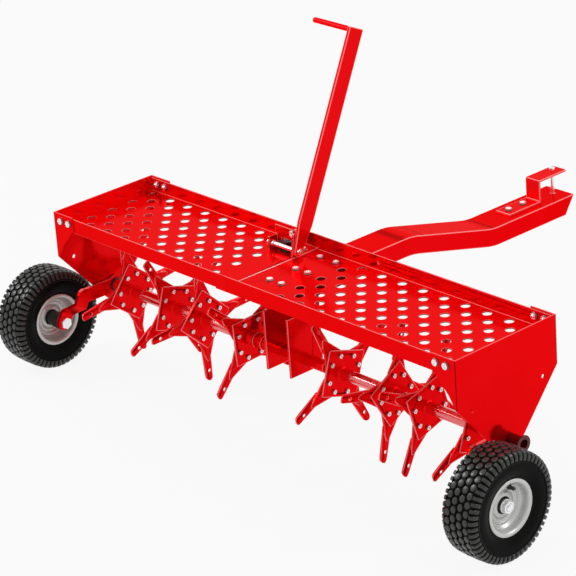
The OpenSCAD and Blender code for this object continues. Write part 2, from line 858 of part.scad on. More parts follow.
// Tyre section: a rounded ring, hollow and open at the bead
function power(v, e) = sign(v) * pow(abs(v), e);
section_steps = 40;
section_round = 0.72;
tyre_mid_r = (wheel_r + bead_r) / 2;
tyre_half_h = (wheel_r - bead_r) / 2;
function ring_section(half_w, half_h) = [
  for (i = [0:section_steps - 1]) let (a = 360 * i / section_steps)
    [tyre_mid_r + half_h * power(sin(a), section_round), half_w * power(cos(a), section_round)]
];

module tyre() {
  bead_h = rim_flange_h + tyre_t / 2;
  gap_half = rim_half_w - tyre_t;
  translate([wheel_x, 0, 0]) rotate([0, 90, 0]) union() {
    rotate_extrude() difference() {
      polygon(ring_section(tyre_w / 2, tyre_half_h));
      polygon(ring_section(tyre_w / 2 - tyre_t, tyre_half_h - tyre_t));
      translate([0, -gap_half]) square([tyre_mid_r, 2 * gap_half]);
    }
    for (x = [-rim_half_w + fit_gap, gap_half]) {
      rotate_extrude() translate([bead_r + fit_gap, x]) square([bead_h, tyre_t - fit_gap]);
    }
  }
}

module tyre_left() {
  color(rubber_black) on_axle(-1) tyre();
}

module tyre_right() {
  color(rubber_black) on_axle(1) tyre();
}

// Rim: barrel with two flanges and a dished disc stepped up to the hub, as radius and depth
rim_flange_r = bead_r + rim_flange_h;
disc_x = 6;
step_x = 13;
crown_x = 16;

module rim() {
  difference() {
    translate([wheel_x, 0, 0]) rotate([0, 90, 0]) rotate_extrude() polygon([
      [hub_r + fit_gap, crown_x - rim_t], [rim_crown_r - rim_t, crown_x - rim_t],
      [rim_crown_r, disc_x - rim_t], [bead_r - 2 * rim_t, disc_x - rim_t],
      [bead_r - rim_t, step_x - 2 * rim_t - disc_x], [bead_r - rim_t, -rim_half_w - rim_t],
      [rim_flange_r, -rim_half_w - rim_t], [rim_flange_r, -rim_half_w],
      [bead_r, -rim_half_w], [bead_r, rim_half_w], [rim_flange_r, rim_half_w],
      [rim_flange_r, rim_half_w + rim_t], [bead_r - rim_t, rim_half_w + rim_t],
      [bead_r - rim_t, step_x], [bead_r - 3 * rim_t, disc_x], [rim_crown_r + rim_t, disc_x],
      [rim_crown_r, crown_x], [hub_r + fit_gap, crown_x]
    ]);
    valve_place() rod(valve_stem_r + fit_gap, 0, 2 * wheel_x);
  }
}

module rim_left() {
  color(rim_grey) on_axle(-1) rim();
}

module rim_right() {
  color(rim_grey) on_axle(1) rim();
}

module hub() {
  pipe(hub_r, axle_r + run_gap, wheel_x - hub_in, hub_x1);
}

module hub_left() {
  color(nylon_black) on_axle(-1) hub();
}

module hub_right() {
  color(nylon_black) on_axle(1) hub();
}

module valve_place() {
  rotate([valve_turn, 0, 0]) translate([0, valve_r, 0]) children();
}

module valve() {
  x0 = wheel_x + disc_x - rim_t;
  valve_place() {
    rod(valve_stem_r, x0 - rim_t, x0 + valve_l);
    rod(valve_base_r, x0 - rim_t, x0);
  }
}

module valve_left() {
  color(rubber_black) on_axle(-1) valve();
}

module valve_right() {
  color(rubber_black) on_axle(1) valve();
}

// Tine tubes on the lift shaft, with a nylon bush in each end
module tine_tube() {
  pipe(tube_r, nylon_r + fit_gap, tube_inner_x, tube_outer_x);
}

module tine_tube_left() {
  color(paint_red) on_side(-1) tine_tube();
}

module tine_tube_right() {
  color(paint_red) on_side(1) tine_tube();
}

module tube_bushes() {
  pipe(nylon_r, shaft_r + run_gap, tube_inner_x, tube_inner_x + tube_bush_l);
  pipe(nylon_r, shaft_r + run_gap, tube_outer_x - tube_bush_l, tube_outer_x);
}

module tube_bushes_left() {
  color(nylon_black) on_side(-1) tube_bushes();
}

module tube_bushes_right() {
  color(nylon_black) on_side(1) tube_bushes();
}

// Star numbers run from the left end to the right
star_count = len(star_x);
function star_place(i) = i < star_count ? -star_x[star_count - 1 - i] : star_x[i - star_count];

module at_star(i) {
  placed() translate([star_place(i), 0, 0]) rotate([star_turn[i], 0, 0]) children();
}

module four_ways() {
  for (q = [0:3]) rotate([90 * q, 0, 0]) children();
}

module tine_bolt_places() {
  for (s = [-1, 1]) translate([0, s * tine_bolt_y, tine_bolt_r]) children();
}

module star_plate() {
  difference() {
    slab(-star_face, star_face) rotate(45) intersection() {
      square(2 * star_half, center = true);
      rotate(45) square(2 * star_trim_r, center = true);
    }
    rod(tube_r + fit_gap, -star_t, star_t);
    four_ways() tine_bolt_places() rod(tine_bolt_hole_r, -star_t, star_t);
  }
}

module star_plates_left() {
  color(paint_red) for (i = [0:star_count - 1]) at_star(i) star_plate();
}

module star_plates_right() {
  color(paint_red) for (i = [star_count:2 * star_count - 1]) at_star(i) star_plate();
}

module star_bolts(first) {
  for (i = [first:first + star_count - 1]) at_star(i) four_ways() tine_bolt_places()
    translate([star_face, 0, 0]) rotate([0, -90, 0])
      bolt(star_t + tine_t, tine_bolt_shank_r, tine_bolt_af);
}

module star_bolts_left() {
  color(zinc) star_bolts(0);
}

module star_bolts_right() {
  color(zinc) star_bolts(star_count);
}

// Spoon tine along +Z, its flat base behind the star plate and its round back towards the plate
module tine() {
  difference() {
    union() {
      slab(-star_face - tine_t, -star_face) polygon([
        [-base_half_w, base_r0], [base_half_w, base_r0], [base_half_w, base_r1], [blend_half_w, blend_r],
        [-blend_half_w, blend_r], [-base_half_w, base_r1]
      ]);
      intersection() {
        translate([-star_face - spoon_r, 0, 0]) linear_extrude(tine_tip_r) difference() {
          circle(spoon_r);
          circle(spoon_r - tine_t);
          translate([-3 * spoon_r - spoon_depth, -2 * spoon_r]) square(4 * spoon_r);
        }
        slab(-star_face - 2 * spoon_r, -star_face + cut) {
          polygon([
            [-spoon_half_w, base_r2 - 2 * tine_t], [spoon_half_w, base_r2 - 2 * tine_t],
            [tine_tip_half_w, tine_tip_r - tine_tip_half_w], [-tine_tip_half_w, tine_tip_r - tine_tip_half_w]
          ]);
          translate([0, tine_tip_r - tine_tip_half_w]) circle(tine_tip_half_w);
        }
      }
    }
    tine_bolt_places() rod(tine_bolt_hole_r, -star_face - 2 * tine_t, star_face);
    translate([0, 0, tine_tip_r - spoon_hole_in]) rod(spoon_hole_d / 2, -star_face - 2 * spoon_r, star_face);
  }
}

module tines(i) {
  color(paint_red) at_star(i) four_ways() tine();
}

// Lever bracket: a tall and a low ear, a wall with a notch for the crank, and a foot on the floor
module foot_bolt_holes() {
  for (s = [-1, 1]) translate([(bracket_x0 + bracket_x1) / 2 + s * foot_bolt_x, wall_y1 + foot_l / 2])
    circle(bolt_hole_r);
}

module ear_outline(height, top_rear) {
  polygon([
    [lever_y - ear_r, floor_z], [wall_y1, floor_z],
    [wall_y1, floor_z + height], [lever_y - top_rear, floor_z + height]
  ]);
}

module wall_bolt_place() {
  translate([bracket_x1 - wall_bolt_in, wall_y0, bracket_top_z - wall_bolt_drop]) rotate([-90, 0, 0]) children();
}

module lever_bracket() {
  color(paint_red) placed() difference() {
    union() {
      slab(bracket_x0, bracket_x0 + bracket_t) ear_outline(ear_low_h, low_ear_top_rear);
      slab(bracket_x1 - bracket_t, bracket_x1) ear_outline(bracket_h, ear_top_rear);
      translate([bracket_x0, wall_y0, floor_z]) cube([bracket_l, bracket_t, bracket_h]);
      translate([bracket_x0, wall_y1 - cut, floor_z]) cube([bracket_l, foot_l + cut, bracket_t]);
    }
    translate([0, lever_y, pivot_z]) rod(pivot_r + run_gap, bracket_x0 - cut, bracket_x1 + cut);
    translate([0, 0, floor_z - cut]) linear_extrude(bracket_t + 2 * cut) foot_bolt_holes();
    wall_bolt_place() translate([0, 0, -cut]) cylinder(r = bolt_hole_r, h = bracket_t + 2 * cut);
    translate([slot_x0, wall_y0 - cut, floor_z - cut])
      cube([slot_x1 - slot_x0, slot_y1 - wall_y0 + cut, notch_z - floor_z + cut]);
  }
}

module bracket_bolts() {
  mid_x = (bracket_x0 + bracket_x1) / 2;
  color(zinc) placed() {
    for (s = [-1, 1]) translate([mid_x + s * foot_bolt_x, wall_y1 + foot_l / 2, floor_z + bracket_t])
      mirror([0, 0, 1]) bolt(bracket_t + (s > 0 ? 2 : 1) * sheet_t);
    wall_bolt_place() bolt(bracket_t);
  }
}

module lever_shaft() {
  end_cap_l = 6;
  cap_r = pivot_r + cap_step;
  cap_x = bracket_x0 - side_gap;
  collar_x = bracket_x0 + bracket_t + side_gap;
  lever_x1 = lever_x0 + lever_t;
  color(zinc) at_pivot() {
    rod(pivot_r, cap_x - end_cap_l, lever_x1 + bolt_head_h);
    rod(cap_r, cap_x - end_cap_l, cap_x);
    rod(cap_r, collar_x, collar_x + end_cap_l);
    translate([lever_x1, 0, 0]) rotate([0, 90, 0]) hexagon(bolt_af, bolt_head_h);
  }
}

module lever_bar() {
  foot_half = lever_foot_r * cos(30);
  foot_z = -lever_foot_r * sin(30);
  color(paint_red) at_pivot() rotate([-lever_lean, 0, 0]) difference() {
    union() {
      rod(lever_foot_r, lever_x0, lever_x0 + lever_t);
      slab(lever_x0, lever_x0 + lever_t) polygon([
        [-foot_half, foot_z], [-lever_w / 2, lever_taper_l], [-lever_w / 2, lever_l],
        [lever_w / 2, lever_l], [lever_w / 2, lever_taper_l], [foot_half, foot_z]
      ]);
    }
    rod(pivot_r + fit_gap, lever_x0 - cut, lever_x0 + lever_t + cut);
  }
}

module lever_grip() {
  color(paint_red) at_pivot() rotate([-lever_lean, 0, 0]) translate([0, 0, lever_l - grip_r]) {
    rod(grip_r, lever_x0 - grip_l, lever_x0);
    translate([lever_x0 - grip_l, 0, 0]) sphere(grip_r);
  }
}

module lever_spacer() {
  color(zinc) at_pivot()
    pipe(pivot_r + bush_wall, pivot_r + fit_gap, bracket_x1 + side_gap / 2, lever_x0);
}

module lever_crank() {
  color(nylon_black) at_pivot() crank(0, pivot_r + fit_gap);
}

module crank_pin() {
  color(zinc) at_pivot() crank_pin_shape();
}

// Link bar between the two crank pins, with a looser eye on the lug pin
module link_bar() {
  lug_eye_gap = 0.3;
  color(nylon_black) placed() translate([0, crank_dy, crank_dz]) difference() {
    slab(link_x, link_x + link_t) {
      circle(eye_r);
      translate([lever_y, pivot_z]) circle(eye_r);
      rotate(link_turn) translate([eye_lip, -eye_bar_half])
        square([link_l - 2 * eye_lip, 2 * eye_bar_half]);
    }
    rod(crank_pin_r + lug_eye_gap, link_x - cut, link_x + link_t + cut);
    translate([0, lever_y, pivot_z]) rod(crank_pin_r + run_gap, link_x - cut, link_x + link_t + cut);
  }
}

tray_left();
tray_right();
end_plate_left();
end_plate_right();
corner_bolts();
tow_bar();
tow_bar_bolts();
hitch_strap();
hitch_bolts();
hitch_pin();
centre_hanger();
hanger_sleeve();
hanger_bolts();
end_bush_left();
end_bush_right();
lift_shaft();
lift_lug();
lug_pin();
shaft_collars();
thrust_washers();
wheel_arm_left();
wheel_arm_right();
axle_bolt_left();
axle_bolt_right();
axle_spacer_left();
axle_spacer_right();
axle_nuts();
tyre_left();
tyre_right();
rim_left();
rim_right();
hub_left();
hub_right();
valve_left();
valve_right();
tine_tube_left();
tine_tube_right();
tube_bushes_left();
tube_bushes_right();
star_plates_left();
star_plates_right();
star_bolts_left();
star_bolts_right();
tines(0);  // tines_1
tines(1);  // tines_2
tines(2);  // tines_3
tines(3);  // tines_4
tines(4);  // tines_5
tines(5);  // tines_6
tines(6);  // tines_7
tines(7);  // tines_8
lever_bracket();
bracket_bolts();
lever_shaft();
lever_bar();
lever_grip();
lever_spacer();
lever_crank();
crank_pin();
link_bar();
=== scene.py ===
"""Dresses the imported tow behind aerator: gloss red paint, zinc bolts, turf tyres and silver rims."""
import json
import logging
import math
from dataclasses import dataclass, field, replace
from enum import Enum
from typing import Iterable, Optional, Sequence, Union

import bmesh
import bpy
from mathutils import Matrix, Vector


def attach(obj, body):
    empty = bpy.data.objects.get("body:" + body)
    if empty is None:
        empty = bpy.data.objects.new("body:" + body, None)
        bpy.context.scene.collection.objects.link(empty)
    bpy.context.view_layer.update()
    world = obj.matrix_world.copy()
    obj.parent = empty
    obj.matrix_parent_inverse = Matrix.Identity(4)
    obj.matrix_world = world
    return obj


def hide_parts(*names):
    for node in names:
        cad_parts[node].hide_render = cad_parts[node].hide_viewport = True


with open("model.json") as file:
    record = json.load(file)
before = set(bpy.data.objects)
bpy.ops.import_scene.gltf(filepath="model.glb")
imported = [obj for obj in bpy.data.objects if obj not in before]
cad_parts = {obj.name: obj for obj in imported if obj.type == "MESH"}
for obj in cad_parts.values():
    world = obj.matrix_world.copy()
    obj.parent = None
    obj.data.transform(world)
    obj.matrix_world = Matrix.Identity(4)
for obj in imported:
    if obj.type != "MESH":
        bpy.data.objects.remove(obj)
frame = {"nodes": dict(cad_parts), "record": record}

log = logging.getLogger("aerator")
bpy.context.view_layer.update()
MM = 0.001
Point2 = tuple[float, float]
Colour = tuple[float, float, float]
Place3 = tuple[float, float, float]
Tones = tuple[Colour, Colour, Colour]
SAME_PLACE = 0.002 * MM
# Material slot of the painted highlight on edges and tread blocks and of the painted shade on washers, and
# the number that keeps a round in its faces' slot
EDGE_SLOT = 1
FACE_SLOT = -1
NOISE_MIDDLE = 0.5
CORNER_KEEP = 0.75
CORNER_CUT = 0.25
# Middle of the tray along Y and place of the floor's lap along X, in mm
TRAY_MIDDLE = -290.0
LAP_X = -62.0
# Each set holds the main tone, the deep tone and the tint of the shine; the pale set is a painted highlight
# for the rounded edges
RED_TONES: Tones = ((0.86, 0.006, 0.008), (0.80, 0.004, 0.006), (1.0, 0.06, 0.06))
HIGHLIGHT_TONES: Tones = ((0.97, 0.20, 0.20), (0.92, 0.13, 0.13), (1.0, 0.8, 0.8))


class Side(Enum):
    """End of the machine, as the sign of its X."""

    LEFT = -1
    RIGHT = 1

    @property
    def word(self) -> str:
        """Ending of this side's node names."""
        return self.name.lower()


class Slot(Enum):
    """Material slots of the record."""

    RED = "red_paint"
    DARK_RED = "dark_red_paint"
    BLACK = "black_paint"
    ZINC = "zinc_steel"
    RIM = "rim_paint"
    TYRE = "tyre_rubber"
    VALVE = "valve_rubber"
    NYLON = "black_nylon"


class Socket:
    """A shader value with Python's operators, each of which adds one Math node."""

    def __init__(self, tree: bpy.types.NodeTree, output: bpy.types.NodeSocket) -> None:
        """Keeps a node's output and its tree."""
        self.tree = tree
        self.output = output

    def math(self, operation: str, first: "Value", second: "Value") -> "Socket":
        """Adds a Math node.

        Args:
            operation: Blender's name of the operation.
            first: First value or socket.
            second: Second value or socket.

        Returns:
            The node's result.
        """
        node = self.tree.nodes.new("ShaderNodeMath")
        node.operation = operation
        for slot, value in zip(node.inputs, (first, second)):
            feed(self.tree, slot, value)
        return Socket(self.tree, node.outputs[0])

    def __add__(self, other: "Value") -> "Socket":
        """Sum."""
        return self.math("ADD", self, other)

    __radd__ = __add__

    def __sub__(self, other: "Value") -> "Socket":
        """Difference."""
        return self.math("SUBTRACT", self, other)

    def __rsub__(self, other: "Value") -> "Socket":
        """Difference from a number."""
        return self.math("SUBTRACT", other, self)

    def __mul__(self, other: "Value") -> "Socket":
        """Product."""
        return self.math("MULTIPLY", self, other)

    __rmul__ = __mul__

    def __pow__(self, other: "Value") -> "Socket":
        """Power."""
        return self.math("POWER", self, other)

    def most(self, other: "Value") -> "Socket":
        """The larger of two values."""
        return self.math("MAXIMUM", self, other)

    def least(self, other: "Value") -> "Socket":
        """The smaller of two values."""
        return self.math("MINIMUM", self, other)

    def size(self) -> "Socket":
        """The value without its sign."""
        return self.math("ABSOLUTE", self, 0.0)

    def above(self, limit: float) -> "Socket":
        """One where the value is over the limit, else nought."""
        return self.math("GREATER_THAN", self, limit)


Value = Union[Socket, float, Sequence[float]]


def feed(tree: bpy.types.NodeTree, slot: bpy.types.NodeSocket, value: Value) -> None:
    """Links a socket or sets a constant.

    Args:
        tree: Node tree that holds both.
        slot: Input to feed.
        value: Socket to link, or a constant.
    """
    if isinstance(value, Socket):
        tree.links.new(value.output, slot)
    elif isinstance(value, (int, float)):
        slot.default_value = value
    elif slot.type == "RGBA" and len(value) == 3:
        slot.default_value = (*value, 1.0)
    else:
        slot.default_value = value


class Shader:
    """One material with a Principled shader, and the nodes that feed it."""

    def __init__(self, name: str) -> None:
        """Makes an empty material with its shader and output."""
        self.material = bpy.data.materials.new(name)
        self.material.use_nodes = True
        self.tree = self.material.node_tree
        self.tree.nodes.clear()
        self.surface = self.tree.nodes.new("ShaderNodeBsdfPrincipled")
        self.output = self.tree.nodes.new("ShaderNodeOutputMaterial")
        self.tree.links.new(self.surface.outputs[0], self.output.inputs["Surface"])

    def node(self, kind: str, settings: Optional[dict] = None, inputs: Optional[dict] = None,
             out: Union[int, str] = 0) -> Socket:
        """Adds any other node.

        Args:
            kind: Blender's type name of the node.
            settings: Attributes to set first.
            inputs: Values or sockets by input name or number.
            out: Name or number of the output.

        Returns:
            The chosen output.
        """
        node = self.tree.nodes.new(kind)
        for key, value in (settings or {}).items():
            setattr(node, key, value)
        for key, value in (inputs or {}).items():
            feed(self.tree, node.inputs[key], value)
        return Socket(self.tree, node.outputs[out])

    def place(self) -> Socket:
        """Place on the piece, in metres of the part's frame."""
        return self.node("ShaderNodeTexCoord", out="Object")

    def along(self, vector: Socket, axis: str) -> Socket:
        """One part of a vector, by the axis's letter."""
        return self.node("ShaderNodeSeparateXYZ", {}, {0: vector}, axis)

    def upward(self) -> Socket:
        """How far the surface faces up: the Z part of its normal on the piece."""
        return self.along(self.node("ShaderNodeTexCoord", out="Normal"), "Z")

    def noise(self, size: float, detail: float) -> Socket:
        """Soft noise of a real size.

        Args:
            size: Size of a blotch, in metres.
            detail: Number of finer layers.

        Returns:
            The noise, from 0 to 1.
        """
        inputs = {"Vector": self.place(), "Scale": 1.0 / size, "Detail": detail}
        return self.node("ShaderNodeTexNoise", inputs=inputs)

    def mix(self, factor: Value, first: Value, second: Value) -> Socket:
        """Mixes two colours.

        Args:
            factor: Share of the second colour.
            first: First colour.
            second: Second colour.

        Returns:
            The mixed colour.
        """
        node = self.tree.nodes.new("ShaderNodeMix")
        node.data_type = "RGBA"
        colours = [s for s in node.inputs if s.type == "RGBA"]
        feed(self.tree, node.inputs[0], factor)
        feed(self.tree, colours[0], first)
        feed(self.tree, colours[1], second)
        return Socket(self.tree, [s for s in node.outputs if s.type == "RGBA"][0])

    def bump(self, height: Socket, depth: float) -> None:
        """Raises the surface by a height value.

        Args:
            height: Height from 0 to 1.
            depth: Depth of the relief, in metres.
        """
        normal = self.node("ShaderNodeBump", {}, {"Strength": 1.0, "Distance": depth, "Height": height})
        self.dress(Normal=normal)

    def dress(self, **values: Value) -> None:
        """Sets the shader's own sockets, with _ for a space in a name."""
        for name, value in values.items():
            feed(self.tree, self.surface.inputs[name.replace("_", " ")], value)


@dataclass(frozen=True)
class GlossPaint:
    """Smooth coat of paint with a faint orange peel and a soft change of tone."""

    name: str
    colour: Colour
    deep: Colour
    tint: Colour
    roughness: float = 0.24
    metallic: float = 0.0
    specular: float = 0.5
    coat: float = 0.0
    coat_ior: float = 1.5
    coat_roughness: float = 0.08
    mottle: float = 0.08
    # Colour of the painted shade that the tow bar, tray and sheet paints mix in
    dark: Colour = (0.10, 0.001, 0.002)
    peel: float = 2.2 * MM
    peel_detail: float = 1.0
    peel_depth: float = 0.012 * MM
    blotch: float = 90 * MM
    blotch_detail: float = 3.0

    def coat_colour(self, shader: Shader, paint: Socket) -> Socket:
        """Colour at a place: that of the paint itself on a plain coat."""
        return paint

    def material(self) -> bpy.types.Material:
        """Builds the paint.

        Returns:
            The material.
        """
        shader = Shader(self.name)
        cloud = shader.noise(self.blotch, self.blotch_detail)
        fine = shader.noise(self.peel, self.peel_detail)
        paint = shader.mix(cloud, self.deep, self.colour)
        shader.dress(Base_Color=self.coat_colour(shader, paint),
                     Roughness=self.roughness + self.mottle * (cloud - NOISE_MIDDLE), Metallic=self.metallic,
                     Specular_IOR_Level=self.specular, Specular_Tint=self.tint, Coat_Weight=self.coat,
                     Coat_Roughness=self.coat_roughness, Coat_IOR=self.coat_ior)
        shader.bump(fine, self.peel_depth)
        return shader.material


@dataclass(frozen=True)
class BarPaint(GlossPaint):
    """Paint of the tow bar, with painted shade under the tray and painted shade bands across its top at the
    bends.
    """

    tray_front: float = -160 * MM
    fade: float = 12 * MM
    marks: tuple[Point2, ...] = ((-3 * MM, 15 * MM), (59 * MM, 6 * MM), (270 * MM, 8 * MM))
    mark_rise: float = 1.5
    mark_depth: float = 0.5
    level: float = 0.85

    def coat_colour(self, shader: Shader, paint: Socket) -> Socket:
        """Colour with painted shade under the tray and painted shade bands on the top faces at the bends.

        Args:
            shader: Shader to add nodes to.
            paint: Colour of the plain coat.

        Returns:
            The colour.
        """
        y = shader.along(shader.place(), "Y")
        top = shader.upward().above(self.level)
        # Painted shade under the tray
        shade = ((self.tray_front - y) * (1.0 / self.fade)).most(0.0).least(1.0)
        # Painted shade bands on the top faces at the bends
        for place, half in self.marks:
            mark = (self.mark_rise - (y - place).size() * (self.mark_rise / half)).most(0.0).least(1.0)
            shade = shade.most(mark * top * self.mark_depth)
        return shader.mix(shade, paint, self.dark)


@dataclass(frozen=True)
class TrayPaint(GlossPaint):
    """Paint of the tray halves, with painted shade on the walls of the floor's holes."""

    middle: float = TRAY_MIDDLE * MM
    half_floor: float = 131 * MM
    level: float = 0.9
    # Strength of the painted shade in the holes
    depth: float = 0.9

    def coat_colour(self, shader: Shader, paint: Socket) -> Socket:
        """Colour with painted shade on steep places within the floor.

        Args:
            shader: Shader to add nodes to.
            paint: Colour of the plain coat.

        Returns:
            The colour.
        """
        y = shader.along(shader.place(), "Y")
        outside = (y - self.middle).size().above(self.half_floor)
        steep = 1.0 - shader.upward().size().above(self.level)
        # Painted shade on the steep faces within the floor, the walls of its holes
        return shader.mix((1.0 - outside) * steep * self.depth, paint, self.dark)


@dataclass(frozen=True)
class CutPaint(GlossPaint):
    """Paint of bent sheets, with a painted highlight on the faces that face up and a painted shade line down
    the outer corners.
    """

    # Colour of the painted highlight on faces that face up
    pale: Colour = HIGHLIGHT_TONES[0]
    level: float = 0.9
    corner_x: float = 608.2 * MM
    corner_y: float = 138.7 * MM
    corner_depth: float = 0.8
    middle: float = TRAY_MIDDLE * MM

    def coat_colour(self, shader: Shader, paint: Socket) -> Socket:
        """Colour with a painted highlight on level places, and a painted shade line down the outer corners.

        Args:
            shader: Shader to add nodes to.
            paint: Colour of the plain coat.

        Returns:
            The colour.
        """
        x, y = (shader.along(shader.place(), axis) for axis in "XY")
        # Painted shade line at the outer corners, painted highlight on faces that face up
        corner = x.size().above(self.corner_x) * (y - self.middle).size().above(self.corner_y)
        level = shader.upward().above(self.level)
        corner_shaded = shader.mix(self.corner_depth * corner, paint, self.dark)
        return shader.mix(level, corner_shaded, self.pale)


@dataclass(frozen=True)
class ZincPlate:
    """Bright zinc on steel: fine grain with slightly duller clouds."""

    name: str
    bright: Colour
    dull: Colour
    roughness: float = 0.2
    dulling: float = 0.16
    grain: float = 0.9 * MM
    grain_detail: float = 2.0
    grain_depth: float = 0.01 * MM
    cloud: float = 7 * MM
    cloud_detail: float = 3.0

    def material(self) -> bpy.types.Material:
        """Builds the plating.

        Returns:
            The material.
        """
        shader = Shader(self.name)
        grain = shader.noise(self.grain, self.grain_detail)
        cloud = shader.noise(self.cloud, self.cloud_detail)
        shader.dress(Base_Color=shader.mix(cloud, self.dull, self.bright), Metallic=1.0,
                     Roughness=self.roughness + self.dulling * cloud)
        shader.bump(grain, self.grain_depth)
        return shader.material


@dataclass(frozen=True)
class SilverPaint:
    """Silver paint of the rims, with fine flakes."""

    name: str
    colour: Colour
    shade: Colour
    metallic: float = 0.55
    roughness: float = 0.34
    sparkle: float = 0.1
    flake: float = 0.6 * MM
    flake_detail: float = 1.0
    flake_depth: float = 0.006 * MM
    flake_share: float = 0.5
    cloud: float = 40 * MM
    cloud_detail: float = 2.0

    def material(self) -> bpy.types.Material:
        """Builds the paint.

        Returns:
            The material.
        """
        shader = Shader(self.name)
        flake = shader.noise(self.flake, self.flake_detail)
        cloud = shader.noise(self.cloud, self.cloud_detail)
        tone = self.flake_share * flake + (1.0 - self.flake_share) * cloud
        shader.dress(Base_Color=shader.mix(tone, self.shade, self.colour), Metallic=self.metallic,
                     Roughness=self.roughness + self.sparkle * flake)
        shader.bump(flake, self.flake_depth)
        return shader.material


@dataclass(frozen=True)
class MouldedRubber:
    """Black rubber or nylon with a fine moulded grain and a breath of dust."""

    name: str
    colour: Colour
    dust: Colour
    roughness: float = 0.5
    specular: float = 0.5
    grain: float = 0.8 * MM
    grain_detail: float = 3.0
    grain_depth: float = 0.04 * MM
    grain_shine: float = 0.14
    cloud: float = 24 * MM
    cloud_detail: float = 4.0
    dust_power: float = 2.0

    def material(self) -> bpy.types.Material:
        """Builds the rubber.

        Returns:
            The material.
        """
        shader = Shader(self.name)
        grain = shader.noise(self.grain, self.grain_detail)
        cloud = shader.noise(self.cloud, self.cloud_detail)
        shader.dress(Base_Color=shader.mix(cloud ** self.dust_power, self.colour, self.dust),
                     Roughness=self.roughness + self.grain_shine * (grain - NOISE_MIDDLE),
                     Specular_IOR_Level=self.specular)
        shader.bump(grain, self.grain_depth)
        return shader.material


RED = GlossPaint("red_gloss_paint", *RED_TONES, roughness=0.15, metallic=0.66, specular=0.04)
# Tow bar paint with painted shade under the tray and at the bends
RED_BAR = BarPaint("red_bar_paint", *RED_TONES, roughness=0.15, metallic=0.88, specular=0.04)
RED_TUBE = GlossPaint("red_tube_paint", *RED_TONES[:2], (1.0, 0.3, 0.3), roughness=0.18, metallic=0.35,
                      coat=1.0, coat_ior=2.2)
# End plates: painted highlight on faces that face up and a painted shade line at the corners
RED_SHEET_LIT = CutPaint("red_cut_paint", *RED_TONES, roughness=0.15, metallic=0.7, specular=0.04)
# The wheel arms keep the painted highlight but have no painted shade line at the corners, so that line is set
# out of their reach
RED_ARM = replace(RED_SHEET_LIT, name="red_arm_paint", corner_y=1.0)
# Tray paint with painted shade on the walls of the floor's holes
RED_TRAY = TrayPaint("red_tray_paint", *RED_TONES, roughness=0.15, metallic=0.75, specular=0.04)
# Pale edge paints are painted highlight; the tray's also keeps the painted shade in the holes
TRAY_EDGE = TrayPaint("red_tray_edge", *HIGHLIGHT_TONES, roughness=0.2, metallic=0.1, specular=0.6, coat=0.6)
RED_EDGE = GlossPaint("red_paint_edge", *HIGHLIGHT_TONES, roughness=0.2, metallic=0.1, specular=0.6, coat=0.6)
DARK_RED = GlossPaint("dark_red_paint", (0.10, 0.003, 0.005), (0.05, 0.002, 0.003), (1.0, 0.5, 0.5),
                      roughness=0.18, coat=0.15)
# The lever's crank and link take this black, which also darkens the floor's slot as painted shade
BLACK = GlossPaint("black_satin_paint", (0.016, 0.016, 0.017), (0.010, 0.010, 0.011), (1.0, 1.0, 1.0),
                   roughness=0.36)
ZINC = ZincPlate("bright_zinc", (0.95, 0.95, 0.96), (0.80, 0.81, 0.82))
# Darker zinc on the washers: painted shade round the bolt heads
WASHER_SHADE = ZincPlate("dark_washers", (0.14, 0.14, 0.15), (0.08, 0.08, 0.09))
SILVER = SilverPaint("silver_rim_paint", (0.62, 0.62, 0.60), (0.50, 0.50, 0.49))
TYRE = MouldedRubber("tyre_rubber", (0.003, 0.003, 0.003), (0.006, 0.006, 0.005), 0.3, specular=0.04)
# Tread blocks lighter than the carcass: a painted highlight on the blocks, the carcass between them darker
TREAD = MouldedRubber("tyre_tread", (0.012, 0.012, 0.011), (0.030, 0.030, 0.028), 0.32, specular=0.45)
VALVE = MouldedRubber("valve_rubber", (0.012, 0.012, 0.012), (0.02, 0.02, 0.02))
NYLON = MouldedRubber("black_nylon", (0.016, 0.016, 0.016), (0.028, 0.027, 0.026), 0.42,
                      grain=0.5 * MM, grain_depth=0.015 * MM)


class Finishes:
    """Materials made once, by slot or by node."""

    def __init__(self) -> None:
        """Builds the materials of the slots, of some nodes, and the second materials: painted highlight on
        edges and tread blocks, painted shade on washers.
        """
        recipes = {Slot.RED: RED, Slot.DARK_RED: DARK_RED, Slot.BLACK: BLACK, Slot.ZINC: ZINC,
                   Slot.RIM: SILVER, Slot.TYRE: TYRE, Slot.VALVE: VALVE, Slot.NYLON: NYLON}
        self.by_slot = {slot: recipe.material() for slot, recipe in recipes.items()}
        paints = (RED_TUBE, RED_TRAY, TRAY_EDGE, RED_SHEET_LIT, RED_ARM)
        tube, tray, tray_edge, cut, arm = (paint.material() for paint in paints)
        own = {"tine_tube": tube, "tray": tray, "end_plate": cut, "wheel_arm": arm}
        self.by_node = {"tow_bar": RED_BAR.material()}
        for side in Side:
            self.by_node.update({f"{stem}_{side.word}": paint for stem, paint in own.items()})
        self.edge_by_node = {f"tray_{side.word}": tray_edge for side in Side}
        # Second materials: painted highlight on red edges and tread blocks, painted shade on washers
        seconds = {Slot.RED: RED_EDGE, Slot.TYRE: TREAD, Slot.ZINC: WASHER_SHADE}
        self.second = {slot: recipe.material() for slot, recipe in seconds.items()}

    def put(self, piece: bpy.types.Object, slot: Slot, edge: bool = False, node: str = "") -> None:
        """Dresses a piece.

        Args:
            piece: Object to dress.
            slot: Its material slot.
            edge: Adds the second material of the slot: painted highlight on edges and tread blocks, painted
                shade on washers.
            node: Node that may have a paint of its own.
        """
        part_of = [polygon.material_index for polygon in piece.data.polygons]
        piece.data.materials.clear()
        piece.data.materials.append(self.by_node.get(node, self.by_slot[slot]))
        if edge:
            piece.data.materials.append(self.edge_by_node.get(node, self.second[slot]))
            piece.data.polygons.foreach_set("material_index", part_of)


